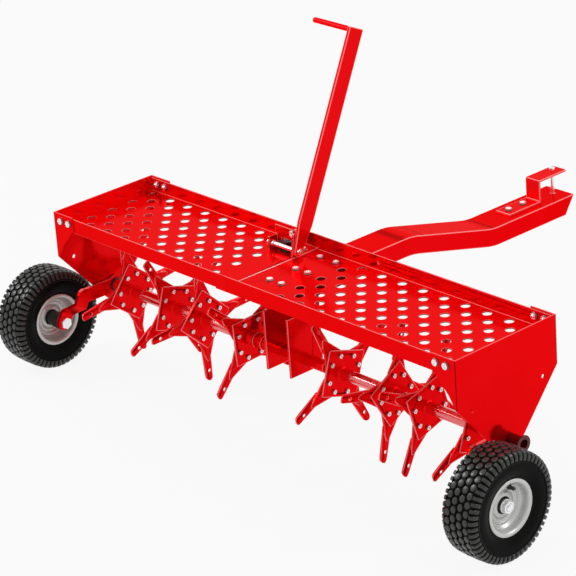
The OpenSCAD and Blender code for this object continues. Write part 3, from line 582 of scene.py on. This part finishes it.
class Shaper:
    """A mesh under construction, in metres of the part's frame."""

    def __init__(self) -> None:
        """Starts with an empty mesh."""
        self.bm = bmesh.new()

    def lathe(self, profile: Sequence[Point2], steps: int, frame_of: Matrix, closed: bool = True) -> None:
        """Turns an outline about the local X axis.

        Args:
            profile: Places along the axis and radii, in metres.
            steps: Number of steps round the axis.
            frame_of: Place and direction of the axis.
            closed: Joins the last point of the outline to the first.
        """
        rings = []
        for i in range(steps):
            turn = 2 * math.pi * i / steps
            rings.append([self.bm.verts.new(frame_of @ Vector((x, r * math.cos(turn), r * math.sin(turn))))
                          for x, r in profile])
        count = len(profile)
        spans = count if closed else count - 1
        for i in range(steps):
            here, there = rings[i], rings[(i + 1) % steps]
            for j in range(spans):
                k = (j + 1) % count
                self.bm.faces.new((here[j], there[j], there[k], here[k]))

    def loft(self, rings: Sequence[Sequence[Vector]], capped: bool = True) -> None:
        """Joins rings of points into a skin.

        Args:
            rings: Rings with the same number of points.
            capped: Closes the first and the last ring.
        """
        made = [[self.bm.verts.new(p) for p in ring] for ring in rings]
        count = len(made[0])
        for low, high in zip(made, made[1:]):
            for j in range(count):
                k = (j + 1) % count
                self.bm.faces.new((low[j], low[k], high[k], high[j]))
        if capped:
            self.bm.faces.new(list(reversed(made[0])))
            self.bm.faces.new(made[-1])

    def mark(self, start: int) -> None:
        """Gives the newest faces the second material.

        Args:
            start: Number of faces that keep the first one.
        """
        self.bm.faces.ensure_lookup_table()
        for face in self.bm.faces[start:]:
            face.material_index = EDGE_SLOT

    def join(self) -> None:
        """Joins points that lie on each other."""
        bmesh.ops.remove_doubles(self.bm, verts=self.bm.verts, dist=SAME_PLACE)

    def piece(self, name: str, sharp: float) -> bpy.types.Object:
        """Makes the object.

        Args:
            name: Name of the piece.
            sharp: Angle in degrees over which an edge stays sharp.

        Returns:
            The new object.
        """
        bmesh.ops.recalc_face_normals(self.bm, faces=self.bm.faces)
        limit = math.radians(sharp)
        for face in self.bm.faces:
            face.smooth = True
        for edge in self.bm.edges:
            edge.smooth = len(edge.link_faces) == 2 and edge.calc_face_angle(0.0) < limit
        mesh = bpy.data.meshes.new(name)
        self.bm.to_mesh(mesh)
        self.bm.free()
        made = bpy.data.objects.new(name, mesh)
        bpy.context.scene.collection.objects.link(made)
        return made


def rounded(points: Sequence[Point2], passes: int = 2) -> list[Point2]:
    """Rounds a closed outline by cutting its corners.

    Args:
        points: Corners of the outline.
        passes: Number of times the corners are cut.

    Returns:
        The rounder outline.
    """
    line = list(points)
    for _ in range(passes):
        fresh = []
        for (ax, ay), (bx, by) in zip(line, line[1:] + line[:1]):
            fresh.append((CORNER_KEEP * ax + CORNER_CUT * bx, CORNER_KEEP * ay + CORNER_CUT * by))
            fresh.append((CORNER_CUT * ax + CORNER_KEEP * bx, CORNER_CUT * ay + CORNER_KEEP * by))
        line = fresh
    return line


def scaled(points: Iterable[Point2]) -> list[Point2]:
    """Points in millimetres, as metres."""
    return [(x * MM, r * MM) for x, r in points]


def axis_frame(origin: Vector, direction: Vector) -> Matrix:
    """Frame whose X axis points along a direction.

    Args:
        origin: Origin of the frame.
        direction: Direction of its X axis.

    Returns:
        The frame as a matrix.
    """
    turn = Vector((1, 0, 0)).rotation_difference(direction.normalized())
    return Matrix.Translation(origin) @ turn.to_matrix().to_4x4()


@dataclass
class EdgeDress:
    """Small round on the edges of a solid, which catches the light."""

    width: float = 0.9 * MM
    steps: int = 2
    angle: float = 30.0
    weld: float = 0.004 * MM
    flatten: bool = False
    flat_angle: float = 0.5
    clamp: bool = False

    def put(self, solid: bpy.types.Object, edge_slot: int) -> None:
        """Adds the modifiers that round the edges.

        Args:
            solid: Node to round.
            edge_slot: Material slot of the rounds, or FACE_SLOT for that of the faces.
        """
        weld = solid.modifiers.new("weld", "WELD")
        weld.merge_threshold = self.weld
        if self.flatten:
            flat = solid.modifiers.new("flat_faces", "DECIMATE")
            flat.decimate_type = "DISSOLVE"
            flat.angle_limit = math.radians(self.flat_angle)
        bevel = solid.modifiers.new("round", "BEVEL")
        bevel.width = self.width
        bevel.segments = self.steps
        bevel.limit_method = "ANGLE"
        bevel.angle_limit = math.radians(self.angle)
        bevel.use_clamp_overlap = self.clamp
        bevel.face_strength_mode = "FSTR_ALL"
        bevel.material = edge_slot
        normal = solid.modifiers.new("normals", "WEIGHTED_NORMAL")
        normal.keep_sharp = True
        normal.use_face_influence = True


def dress_piece(piece: bpy.types.Object, body: str, slot: Slot, finishes: Finishes, *nodes: str) -> None:
    """Puts a new piece on its body.

    Args:
        piece: The piece.
        body: Body that it moves with.
        slot: Material slot.
        finishes: The materials.
        nodes: Nodes that it stands for.
    """
    # Tyres and bolts take their second material: painted highlight on tread blocks, painted shade on washers
    finishes.put(piece, slot, slot in (Slot.TYRE, Slot.ZINC))
    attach(piece, body)
    if nodes:
        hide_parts(*nodes)
    log.info("piece %s on %s", piece.name, body)


@dataclass
class TurfWheel:
    """Wheel with a turf tyre, a dished rim and a valve; sizes in mm apart from the axle's place."""

    side: Side
    centre: Vector = field(init=False)
    reach: float = 692 * MM
    axle_y: float = -416 * MM
    axle_z: float = 114 * MM
    radius: float = 114.0
    knob_rows: tuple[float, ...] = (-23.5, -8.0, 8.0, 23.5)
    knob_count: int = 40
    knob_half: float = 6.9
    knob_stretch: float = 1.15
    knob_corners: int = 8
    knob_turn: int = 22
    knob_levels: tuple[Point2, ...] = ((1.05, 107.0), (1.0, 112.2), (0.92, 113.7), (0.8, 113.95))
    crown_half: float = 15.0
    crown_drop: float = 0.6
    lug_count: int = 54
    lug_half: float = 4.3
    lug_round: float = 0.9
    lug_chamfer: float = 0.14
    lug_foot: float = 0.3
    lug_shift: float = 0.25
    valve_turn: float = 57.0
    valve_reach: float = 36.0
    tyre_steps: int = 108
    rim_steps: int = 96
    valve_steps: int = 24

    def __post_init__(self) -> None:
        """Finds the middle of the wheel."""
        self.centre = Vector((self.side.value * self.reach, self.axle_y, self.axle_z))

    def frame_of(self) -> Matrix:
        """Frame at the wheel's middle, with X outward."""
        return Matrix.Translation(self.centre) @ Matrix.Diagonal((self.side.value, 1, 1, 1))

    def wrap(self, x: float, arc: float, r: float, turn: float) -> Vector:
        """Point on the tread.

        Args:
            x: Distance outward from the wheel's middle, in mm.
            arc: Distance round the tread, in mm.
            r: Distance from the axle, in mm.
            turn: Angle of the block, in radians.

        Returns:
            The point in the part's frame.
        """
        angle = turn + arc / self.radius
        return self.frame_of() @ Vector((x * MM, r * MM * math.cos(angle), r * MM * math.sin(angle)))

    def carcass(self) -> list[Point2]:
        """Outline of the tyre without its blocks.

        Returns:
            Places along the axle and radii, in metres.
        """
        half = [(0, 110.0), (16, 109.8), (27, 109.0), (33.5, 107.6), (37.6, 104.2), (40.2, 99.6),
                (41.8, 95.2), (41.8, 93.0), (40.6, 91.6), (41.0, 85), (40.4, 77), (38.4, 69),
                (36.4, 63.6), (36.6, 61.6), (34.8, 59.6), (33.4, 56), (33.0, 52.2), (28, 52.2)]
        return scaled(rounded(half + [(-x, r) for x, r in reversed(half[1:])]))

    def knobs(self, shaper: Shaper) -> None:
        """Adds the staggered blocks of the tread.

        Args:
            shaper: Mesh to add to.
        """
        step = 360 // self.knob_corners
        angles = [math.radians(self.knob_turn + step * i) for i in range(self.knob_corners)]
        corners = [(math.cos(a), math.sin(a)) for a in angles]
        for row, x in enumerate(self.knob_rows):
            crown = self.crown_drop if abs(x) > self.crown_half else 0.0
            for i in range(self.knob_count):
                turn = 2 * math.pi * (i + 0.5 * (row % 2)) / self.knob_count
                rings = []
                for share, r in self.knob_levels:
                    half = self.knob_half * share
                    rings.append([self.wrap(x + half * cx, half * cy * self.knob_stretch, r - crown, turn)
                                  for cx, cy in corners])
                shaper.loft(rings)

    def lug_ring(self, flip: int, turn: float, top: Point2, foot: Point2) -> list[Vector]:
        """Section across a shoulder block.

        Args:
            flip: Side of the tyre, as a sign.
            turn: Angle of the block, in radians.
            top: Place along the axle and radius of its outer face, in mm.
            foot: The same of its foot, in mm.

        Returns:
            Points of the section.
        """
        (top_x, top_r), (foot_x, foot_r) = top, foot
        half = self.lug_half
        edge = half - self.lug_round
        wide = half + self.lug_foot
        mid_x = top_x + self.lug_chamfer * (foot_x - top_x)
        mid_r = top_r + self.lug_chamfer * (foot_r - top_r)
        line = ((foot_x, -wide, foot_r), (mid_x, -half, mid_r), (top_x, -edge, top_r),
                (top_x, edge, top_r), (mid_x, half, mid_r), (foot_x, wide, foot_r))
        return [self.wrap(flip * x, arc, r, turn) for x, arc, r in line]

    def lugs(self, shaper: Shaper) -> None:
        """Adds the shoulder blocks that run over onto the sidewall.

        Args:
            shaper: Mesh to add to.
        """
        outer = ((31.4, 112.8), (35.4, 112.4), (39.0, 109.8), (41.3, 105.0), (41.95, 99.6), (41.7, 96.0))
        inner = ((31.4, 103.0), (34.6, 101.6), (36.8, 99.0), (38.0, 96.6), (38.8, 95.0), (39.2, 94.0))
        for flip in (-1, 1):
            shift = self.lug_shift if flip > 0 else 1.0 - self.lug_shift
            for i in range(self.lug_count):
                turn = 2 * math.pi * (i + shift) / self.lug_count
                shaper.loft([self.lug_ring(flip, turn, top, foot) for top, foot in zip(outer, inner)])

    def tyre(self) -> bpy.types.Object:
        """Builds the tyre.

        Returns:
            The piece.
        """
        shaper = Shaper()
        shaper.lathe(self.carcass(), self.tyre_steps, self.frame_of())
        bare = len(shaper.bm.faces)
        self.knobs(shaper)
        self.lugs(shaper)
        # The blocks take the lighter tread rubber, a painted highlight
        shaper.mark(bare)
        return shaper.piece(f"turf_tyre_{self.side.word}", sharp=36.0)

    def rim(self) -> bpy.types.Object:
        """Builds the rim: two dished halves with rolled edges.

        Returns:
            The piece.
        """
        face = [(30.5, 52), (32.8, 53.4), (33.2, 57.6), (34.6, 59.2), (36.4, 58.4), (36.8, 54.6),
                (35.6, 51.2), (31, 49.2), (25, 48.2), (19.4, 46.2), (17.2, 43.6), (14.6, 42.0),
                (14.0, 39.6), (15.8, 37.6), (13.2, 35.0), (11.6, 31.0), (12.6, 28.0), (17.2, 24.2),
                (17.8, 15.1)]
        back = [(-14.2, 15.1), (-13.8, 23.8), (-9.8, 27.8), (-8.8, 31.0), (-10.4, 35.0), (-13.4, 37.6),
                (-11.6, 39.6), (-12.2, 42.0), (-15.0, 43.6), (-18.4, 46.4), (-25, 48.4), (-31, 49.2),
                (-35.6, 51.2), (-36.8, 54.6), (-36.4, 58.4), (-34.6, 59.2), (-33.2, 57.6), (-32.8, 53.4),
                (-30.5, 52)]
        shaper = Shaper()
        shaper.lathe(scaled(rounded(face + back)), self.rim_steps, self.frame_of())
        return shaper.piece(f"dished_rim_{self.side.word}", sharp=60.0)

    def valve(self) -> bpy.types.Object:
        """Builds the valve stem with its ribbed cap.

        Returns:
            The piece.
        """
        turn = math.radians(self.valve_turn)
        at = Vector((0, self.valve_reach * MM * math.cos(turn), self.valve_reach * MM * math.sin(turn)))
        line = [(0.2, 0), (0.2, 5.6), (15.2, 5.6), (16.0, 4.4), (18.6, 3.8), (19.0, 3.3), (19.4, 4.0),
                (20.4, 4.0), (20.8, 3.5), (22.0, 3.5), (22.4, 4.0), (26.6, 3.8), (28.4, 2.6), (28.8, 0)]
        shaper = Shaper()
        shaper.lathe(scaled(line), self.valve_steps, self.frame_of() @ Matrix.Translation(at), closed=False)
        shaper.join()
        return shaper.piece(f"valve_stem_{self.side.word}", sharp=40.0)

    def build(self, finishes: Finishes) -> None:
        """Makes and dresses the wheel's pieces.

        Args:
            finishes: The materials.
        """
        body = f"wheel_{self.side.word}"
        dress_piece(self.tyre(), body, Slot.TYRE, finishes, f"tyre_{self.side.word}")
        dress_piece(self.rim(), body, Slot.RIM, finishes, f"rim_{self.side.word}")
        dress_piece(self.valve(), body, Slot.VALVE, finishes, f"valve_{self.side.word}")


@dataclass
class BoltSet:
    """Bolts of one node, each with a chamfered head, washers, a nut and a thread end; sizes in mm."""

    node: str
    body: str
    shank: float = 4.0
    flats: float = 13.0
    head: float = 5.0
    nut: float = 6.0
    rest: float = 2.0
    washer: float = 1.5
    washer_sink: float = 0.9
    washer_bore: float = 0.5
    washer_edge: Point2 = (0.4, 0.5)
    ring: float = 0.64
    socket: float = 2.4
    nut_dish: float = 0.2
    chamfer_line: tuple[Point2, ...] = ((1.1, 1.0), (0.45, 0.955))
    face_line: tuple[Point2, ...] = ((0.0, 0.9), (0.1, 0.6))
    dish_share: float = 0.52
    pitch: float = 0.8
    groove: float = 0.5
    tip: float = 0.9
    thread_in: float = 1.0
    thread_out: float = 1.2
    hex_steps: int = 24
    washer_steps: int = 28
    thread_steps: int = 20
    flush: float = 0.01
    head_over: float = 1.2
    digits: int = 6

    def islands(self) -> list[list[Vector]]:
        """Finds the bolts of the node.

        Returns:
            Points of each bolt.
        """
        mesh = frame["nodes"][self.node].data
        key_of = [tuple(round(c, self.digits) for c in v.co) for v in mesh.vertices]
        parent = {key: key for key in key_of}

        def root(key: tuple) -> tuple:
            """Finds the head of a point's group."""
            while parent[key] != key:
                parent[key] = parent[parent[key]]
                key = parent[key]
            return key

        for polygon in mesh.polygons:
            first = root(key_of[polygon.vertices[0]])
            for index in polygon.vertices[1:]:
                parent[root(key_of[index])] = first
        groups: dict[tuple, list[Vector]] = {}
        for key in sorted(set(key_of)):
            groups.setdefault(root(key), []).append(Vector(key))
        return [groups[key] for key in sorted(groups)]

    def axis_of(self, points: list[Vector]) -> tuple[Vector, Vector, float]:
        """Axis of a bolt from its points.

        Args:
            points: Points of the bolt.

        Returns:
            Outer face of the head, direction from the head to the thread end, and the length.
        """
        low = Vector([min(p[i] for p in points) for i in range(3)])
        high = Vector([max(p[i] for p in points) for i in range(3)])
        size = high - low
        axis = max(range(3), key=lambda i: size[i])
        middle = (low + high) / 2
        direction = Vector([1.0 if i == axis else 0.0 for i in range(3)])
        at_low = [p for p in points if p[axis] - low[axis] < self.flush * MM]
        wide = max((p - middle - direction * (p[axis] - middle[axis])).length for p in at_low)
        start = middle - direction * (size[axis] / 2)
        if wide < self.head_over * self.shank * MM:
            start, direction = middle + direction * (size[axis] / 2), -direction
        return start, direction, size[axis] / MM

    def hex_block(self, shaper: Shaper, at: Matrix, x0: float, x1: float, dish: float) -> None:
        """Adds a hexagon with a turned chamfer at its outer end.

        Args:
            shaper: Mesh to add to.
            at: Frame of the bolt.
            x0: Inner end, in mm.
            x1: Outer end, in mm.
            dish: Depth of the socket in the outer face, in mm.
        """
        corner = self.flats / math.sqrt(3)
        flat = self.flats / 2
        out = 1 if x1 > x0 else -1
        line = [(x0, corner)]
        line += [(x1 - out * back, share * corner) for back, share in self.chamfer_line]
        face_line = (*self.face_line, (dish, self.dish_share))
        line += [(x1 - out * back, share * flat) for back, share in face_line]
        rings = []
        for x, limit in line:
            ring = []
            for i in range(self.hex_steps):
                a = 2 * math.pi * i / self.hex_steps
                edge = flat / math.cos((a % (math.pi / 3)) - math.pi / 6)
                r = min(edge, limit)
                ring.append(at @ Vector((x * MM, r * MM * math.cos(a), r * MM * math.sin(a))))
            rings.append(ring)
        shaper.loft(rings)

    def washer_ring(self, shaper: Shaper, at: Matrix, x0: float) -> None:
        """Adds a washer with broken edges.

        Args:
            shaper: Mesh to add to.
            at: Frame of the bolt.
            x0: Face of the washer nearer to the head's end, in mm.
        """
        x1 = x0 + self.washer
        r = self.flats * self.ring
        bore = self.washer_bore * self.shank
        cut_x, cut_r = self.washer_edge
        line = [(x0, bore), (x0, r - cut_r), (x0 + cut_x, r), (x1 - cut_x, r), (x1, r - cut_r), (x1, bore)]
        shaper.lathe(scaled(line), self.washer_steps, at)

    def thread_end(self, shaper: Shaper, at: Matrix, length: float) -> None:
        """Adds the shank, with its thread past the nut.

        Args:
            shaper: Mesh to add to.
            at: Frame of the bolt.
            length: Length of the bolt, in mm.
        """
        thread = [(self.head, 0.0), (self.head, self.shank)]
        x = length - self.rest - self.thread_in
        while x < length - self.thread_out:
            thread += [(x, self.shank), (x + self.pitch / 2, self.shank - self.groove)]
            x += self.pitch
        thread += [(length - self.tip, self.shank), (length, self.shank - self.tip), (length, 0.0)]
        shaper.lathe(scaled(thread), self.thread_steps, at, closed=False)

    def build(self, finishes: Finishes) -> None:
        """Makes and dresses the bolts.

        Args:
            finishes: The materials.
        """
        shaper = Shaper()
        sink = self.washer_sink * self.washer
        for points in self.islands():
            start, direction, length = self.axis_of(points)
            at = axis_frame(start, direction)
            grip_end = length - self.rest - self.nut
            self.hex_block(shaper, at, self.head - sink, 0.0, self.socket)
            self.hex_block(shaper, at, grip_end + sink, length - self.rest, self.nut_dish)
            bare = len(shaper.bm.faces)
            for x0 in (self.head - self.washer, grip_end):
                self.washer_ring(shaper, at, x0)
            # The washers take the darker zinc, painted shade round the heads and nuts
            shaper.mark(bare)
            self.thread_end(shaper, at, length)
        shaper.join()
        piece = shaper.piece(f"{self.node}_set", sharp=30.0)
        dress_piece(piece, self.body, Slot.ZINC, finishes, self.node)


@dataclass
class WeldRings:
    """Weld beads where the star plates meet a tine tube; sizes in mm apart from the shaft's place."""

    side: Side
    places: tuple[float, ...] = (140.0, 292.0, 388.0, 532.0)
    tube: float = 13.0
    plate: float = 4.0
    leg: float = 3.2
    ripples: int = 34
    ripple_steps: int = 4
    swell: float = 0.09
    bite: float = 0.3
    toe: float = 0.2
    waist: Point2 = (0.35, 0.62)
    shaft_y: float = TRAY_MIDDLE * MM
    shaft_z: float = 173.5 * MM

    def bead(self, shaper: Shaper, x: float, out: int) -> None:
        """Adds one bead.

        Args:
            shaper: Mesh to add to.
            x: Face of the plate, in mm.
            out: Direction away from the plate.
        """
        steps = self.ripples * self.ripple_steps
        near, far = self.waist
        rings = []
        for i in range(steps):
            a = 2 * math.pi * i / steps
            leg = self.leg * (1.0 + self.swell * math.sin(self.ripples * a))
            outline = ((-self.bite, self.tube - self.bite), (-self.bite, self.tube + leg),
                       (near * leg, self.tube + far * leg), (far * leg, self.tube + near * leg),
                       (leg, self.tube - self.toe))
            rings.append([Vector(((x + out * dx) * MM, self.shaft_y + r * MM * math.cos(a),
                                  self.shaft_z + r * MM * math.sin(a))) for dx, r in outline])
        rings.append(rings[0])
        shaper.loft(rings, capped=False)

    def build(self, finishes: Finishes) -> None:
        """Makes and dresses the beads.

        Args:
            finishes: The materials.
        """
        shaper = Shaper()
        for place in self.places:
            for out in (-1, 1):
                self.bead(shaper, self.side.value * place + out * self.plate / 2, out)
        shaper.join()
        piece = shaper.piece(f"star_welds_{self.side.word}", sharp=60.0)
        dress_piece(piece, f"roller_{self.side.word}", Slot.RED, finishes)


@dataclass
class SeamEdge:
    """Rolled edge of the upper floor half, along the lap at the middle, all in the pale edge paint as a
    painted highlight line; sizes in mm.
    """

    x: float = LAP_X
    floor_z: float = 353.5
    y_middle: float = TRAY_MIDDLE
    half_l: float = 134.2
    height: float = 2.9
    width: float = 1.9
    steps: int = 9
    back: float = -0.4
    lift: float = 0.02
    toe: float = 0.3
    end_share: float = 0.7
    end_run: float = 1.5

    def build(self, finishes: Finishes) -> None:
        """Makes and dresses the edge.

        Args:
            finishes: The materials.
        """
        outline = [(self.back, self.lift)]
        for i in range(self.steps):
            a = math.pi / 2 * i / (self.steps - 1)
            rise = self.toe + (1.0 - self.toe) * math.sin(a)
            outline.append((self.width * math.cos(a), self.height * rise))
        outline.append((self.back, self.height))
        inner = self.half_l - self.end_run
        sections = ((self.end_share, -self.half_l), (1.0, -inner),
                    (1.0, inner), (self.end_share, self.half_l))
        rings = []
        for share, y in sections:
            rings.append([Vector(((self.x + share * dx) * MM, (self.y_middle + y) * MM,
                                  (self.floor_z + share * dz) * MM)) for dx, dz in outline])
        shaper = Shaper()
        shaper.loft(rings)
        piece = shaper.piece("seam_edge", sharp=40.0)
        dress_piece(piece, "frame", Slot.RED, finishes)
        # The whole edge takes the pale edge paint, a painted highlight
        piece.data.materials[0] = finishes.second[Slot.RED]


def block(shaper: Shaper, low: Sequence[float], high: Sequence[float], cut: float) -> None:
    """Adds a block whose upright edges are cut off.

    Args:
        shaper: Mesh to add to.
        low: Lowest corner, in mm.
        high: Highest corner, in mm.
        cut: Size of the cut at the upright edges, in mm.
    """
    (x0, y0, z0), (x1, y1, z1) = low, high
    outline = [(x0 + cut, y0), (x1 - cut, y0), (x1, y0 + cut), (x1, y1 - cut),
               (x1 - cut, y1), (x0 + cut, y1), (x0, y1 - cut), (x0, y0 + cut)]
    shaper.loft([[Vector((x * MM, y * MM, z * MM)) for x, y in outline] for z in (z0, z1)])


@dataclass
class LipJoints:
    """Thin cover strips where the lips of the two tray halves meet; sizes in mm."""

    x: float = LAP_X
    y_middle: float = TRAY_MIDDLE
    lip_out: float = 137.0
    lip_in: float = 134.5
    z_low: float = 351.2
    z_floor: float = 357.2
    z_top: float = 386.2
    half_w: float = 16.0
    thick: float = 0.35
    cut: float = 0.1

    def build(self, finishes: Finishes) -> None:
        """Makes and dresses the strips.

        Args:
            finishes: The materials.
        """
        shaper = Shaper()
        for side in (-1, 1):
            for inner, outer, z0 in ((self.lip_out, self.lip_out + self.thick, self.z_low),
                                     (self.lip_in - self.thick, self.lip_in, self.z_floor)):
                ys = sorted((self.y_middle + side * inner, self.y_middle + side * outer))
                low = (self.x - self.half_w, ys[0], z0)
                high = (self.x + self.half_w, ys[1], self.z_top)
                block(shaper, low, high, self.cut)
        dress_piece(shaper.piece("lip_joint_strips", sharp=40.0), "frame", Slot.RED, finishes)


@dataclass
class SlotSkirt:
    """Black rubber edging that hangs under the lever's slot in the floor; it also darkens the slot as painted
    shade. Sizes in mm.
    """

    x0: float = -122.0
    x1: float = -92.0
    y0: float = -215.0
    y1: float = -174.0
    wall: float = 1.2
    z_top: float = 353.4
    levels: tuple[Point2, ...] = ((0.0, 1.0), (15.6, 1.0), (17.0, 1.6), (18.4, 1.0), (18.4, 0.0), (0.0, 0.0))

    def build(self, finishes: Finishes) -> None:
        """Makes and dresses the edging.

        Args:
            finishes: The materials.
        """
        rings = []
        for drop, out in self.levels + self.levels[:1]:
            grow = out * self.wall
            corners = ((self.x0 - grow, self.y0 - grow), (self.x1 + grow, self.y0 - grow),
                       (self.x1 + grow, self.y1 + grow), (self.x0 - grow, self.y1 + grow))
            rings.append([Vector((x * MM, y * MM, (self.z_top - drop) * MM)) for x, y in corners])
        shaper = Shaper()
        shaper.loft(rings, capped=False)
        shaper.join()
        # The black skirt keeps the slot dim, a painted shade
        dress_piece(shaper.piece("slot_skirt", sharp=40.0), "frame", Slot.VALVE, finishes)


@dataclass
class SolidDress:
    """Finish and rounded edges of the nodes that show as they are."""

    thick: EdgeDress = field(default_factory=lambda: EdgeDress(1.0 * MM))
    thin: EdgeDress = field(default_factory=lambda: EdgeDress(0.8 * MM))
    thin_nodes: tuple[str, ...] = ("tray_left", "tray_right", *(f"tines_{i}" for i in range(1, 9)))
    wide: EdgeDress = field(default_factory=lambda: EdgeDress(1.7 * MM, steps=3, flatten=True))
    wide_nodes: tuple[str, ...] = ("tow_bar", "hitch_strap", "lever_bar")
    plate: EdgeDress = field(default_factory=lambda: EdgeDress(1.6 * MM, steps=3))
    plate_nodes: tuple[str, ...] = ("star_plates_left", "star_plates_right")
    faint: EdgeDress = field(default_factory=lambda: EdgeDress(0.5 * MM, clamp=True))
    faint_nodes: tuple[str, ...] = ("wheel_arm_left", "wheel_arm_right")
    plain_nodes: tuple[str, ...] = ("tube_bushes_left", "tube_bushes_right",
                                    "end_plate_left", "end_plate_right")

    def edges_of(self, name: str) -> EdgeDress:
        """Chooses the round that suits a node's sheet.

        Args:
            name: Name of the node.

        Returns:
            The round of its edges.
        """
        choices = ((self.wide_nodes, self.wide), (self.plate_nodes, self.plate), (self.thin_nodes, self.thin),
                   (self.faint_nodes, self.faint))
        for names, edges in choices:
            if name in names:
                return edges
        return self.thick

    def build(self, finishes: Finishes) -> None:
        """Dresses every node that is still shown.

        Args:
            finishes: The materials.
        """
        slots = {row["node"]: Slot(row["material_slot"]) for row in frame["record"]["subparts"]}
        for name, solid in sorted(frame["nodes"].items()):
            if solid.hide_render:
                continue
            slot = slots[name]
            red = slot is Slot.RED
            # Red nodes get the pale edge paint on their rounds, a painted highlight
            finishes.put(solid, slot, red, name)
            if name not in self.plain_nodes:
                self.edges_of(name).put(solid, EDGE_SLOT if red else FACE_SLOT)
            log.info("node %s in %s", name, slot.value)


@dataclass(frozen=True)
class Lamp:
    """Soft square lamp: its place and edge in metres, its power in watts."""

    name: str
    place: Place3
    power: float
    size: float = 1.2


@dataclass
class Studio:
    """Pale floor, soft light and the camera at the photograph's angle."""

    centre: Vector = field(default_factory=lambda: Vector((0.0, -0.290, 0.3895)))
    azimuth: float = 49.05
    elevation: float = 23.21
    roll: float = -4.17
    distance: float = 5.682
    slide: tuple[float, float] = (-0.0033, -0.0579)
    lens: float = 172.69
    sensor: float = 36.0
    clip_end: float = 60.0
    white: float = 0.955
    fill: float = 0.68
    floor_half: float = 20.0
    floor_drop: float = 0.5 * MM
    floor_tone: float = 0.9
    floor_glow: float = 0.95
    aim: Place3 = (0.0, -0.25, 0.3)
    lamps: tuple[Lamp, ...] = (Lamp("key", (-3.0, -2.1, 3.0), 70.0), Lamp("rim", (2.2, 2.0, 3.2), 55.0),
                               Lamp("top", (0.2, -0.6, 4.4), 20.0))

    def camera(self) -> None:
        """Places the camera."""
        az, el, roll = (math.radians(v) for v in (self.azimuth, self.elevation, self.roll))
        back = Vector((math.sin(az) * math.cos(el), -math.cos(az) * math.cos(el), math.sin(el)))
        right = Vector((math.cos(az), math.sin(az), 0.0))
        up = back.cross(right)
        across = right * math.cos(roll) + up * math.sin(roll)
        rise = up * math.cos(roll) - right * math.sin(roll)
        data = bpy.data.cameras.new("view")
        data.sensor_width = self.sensor
        data.lens = self.lens
        data.clip_end = self.clip_end
        view = bpy.data.objects.new("view", data)
        place = Matrix((across, rise, back)).transposed().to_4x4()
        place.translation = self.centre + self.slide[0] * across + self.slide[1] * rise + self.distance * back
        view.matrix_world = place
        bpy.context.scene.collection.objects.link(view)
        bpy.context.scene.camera = view

    def seen(self, tree: bpy.types.NodeTree) -> Socket:
        """One for rays from the camera, a mirror or glass, else nought.

        Args:
            tree: Tree to add the nodes to.

        Returns:
            The test.
        """
        path = tree.nodes.new("ShaderNodeLightPath")
        camera, glossy, through = (Socket(tree, path.outputs[name]) for name in
                                   ("Is Camera Ray", "Is Glossy Ray", "Is Transmission Ray"))
        return camera.most(glossy).most(through)

    def surround(self) -> None:
        """Makes the white surround: white where it is seen, softer as a light."""
        world = bpy.data.worlds.new("surround")
        world.use_nodes = True
        tree = world.node_tree
        back = tree.nodes["Background"]
        back.inputs["Color"].default_value = (1.0, 1.0, 1.0, 1.0)
        feed(tree, back.inputs["Strength"], self.seen(tree) * (self.white - self.fill) + self.fill)
        bpy.context.scene.world = world

    def floor(self) -> None:
        """Lays the pale floor, which keeps a soft shadow."""
        mesh = bpy.data.meshes.new("floor")
        half = self.floor_half
        corners = [(-half, -half, 0), (half, -half, 0), (half, half, 0), (-half, half, 0)]
        mesh.from_pydata(corners, [], [(0, 1, 2, 3)])
        floor = bpy.data.objects.new("floor", mesh)
        floor.location.z = -self.floor_drop
        bpy.context.scene.collection.objects.link(floor)
        paint = bpy.data.materials.new("pale_floor")
        paint.use_nodes = True
        tree = paint.node_tree
        tree.nodes.clear()
        matt = tree.nodes.new("ShaderNodeBsdfDiffuse")
        matt.inputs["Color"].default_value = (self.floor_tone, self.floor_tone, self.floor_tone, 1.0)
        glow = tree.nodes.new("ShaderNodeEmission")
        glow.inputs["Color"].default_value = (self.white, self.white, self.white, 1.0)
        blend = tree.nodes.new("ShaderNodeMixShader")
        feed(tree, blend.inputs[0], self.seen(tree) * self.floor_glow)
        tree.links.new(matt.outputs[0], blend.inputs[1])
        tree.links.new(glow.outputs[0], blend.inputs[2])
        out = tree.nodes.new("ShaderNodeOutputMaterial")
        tree.links.new(blend.outputs[0], out.inputs["Surface"])
        mesh.materials.append(paint)

    def hang(self, lamp: Lamp) -> None:
        """Hangs a lamp that faces the machine.

        Args:
            lamp: The lamp.
        """
        data = bpy.data.lights.new(lamp.name, "AREA")
        data.size = lamp.size
        data.energy = lamp.power
        made = bpy.data.objects.new(lamp.name, data)
        made.location = lamp.place
        made.rotation_euler = (Vector(self.aim) - Vector(lamp.place)).to_track_quat("-Z", "Y").to_euler()
        bpy.context.scene.collection.objects.link(made)

    def build(self) -> None:
        """Makes the studio."""
        self.camera()
        self.surround()
        self.floor()
        for lamp in self.lamps:
            self.hang(lamp)
        bpy.context.scene.view_settings.view_transform = "Standard"


def main() -> None:
    """Builds the machine's looks in order."""
    logging.basicConfig(level=logging.INFO, format="%(name)s: %(message)s")
    Studio().build()
    finishes = Finishes()
    for side in Side:
        TurfWheel(side).build(finishes)
        WeldRings(side).build(finishes)
        roller = f"roller_{side.word}"
        BoltSet(f"star_bolts_{side.word}", roller, shank=3.0, flats=9.0, ring=0.57).build(finishes)
    for node in ("corner_bolts", "tow_bar_bolts", "hitch_bolts", "hanger_bolts", "bracket_bolts"):
        BoltSet(node, "frame").build(finishes)
    SeamEdge().build(finishes)
    LipJoints().build(finishes)
    SlotSkirt().build(finishes)
    SolidDress().build(finishes)


if __name__ == "__main__":
    main()
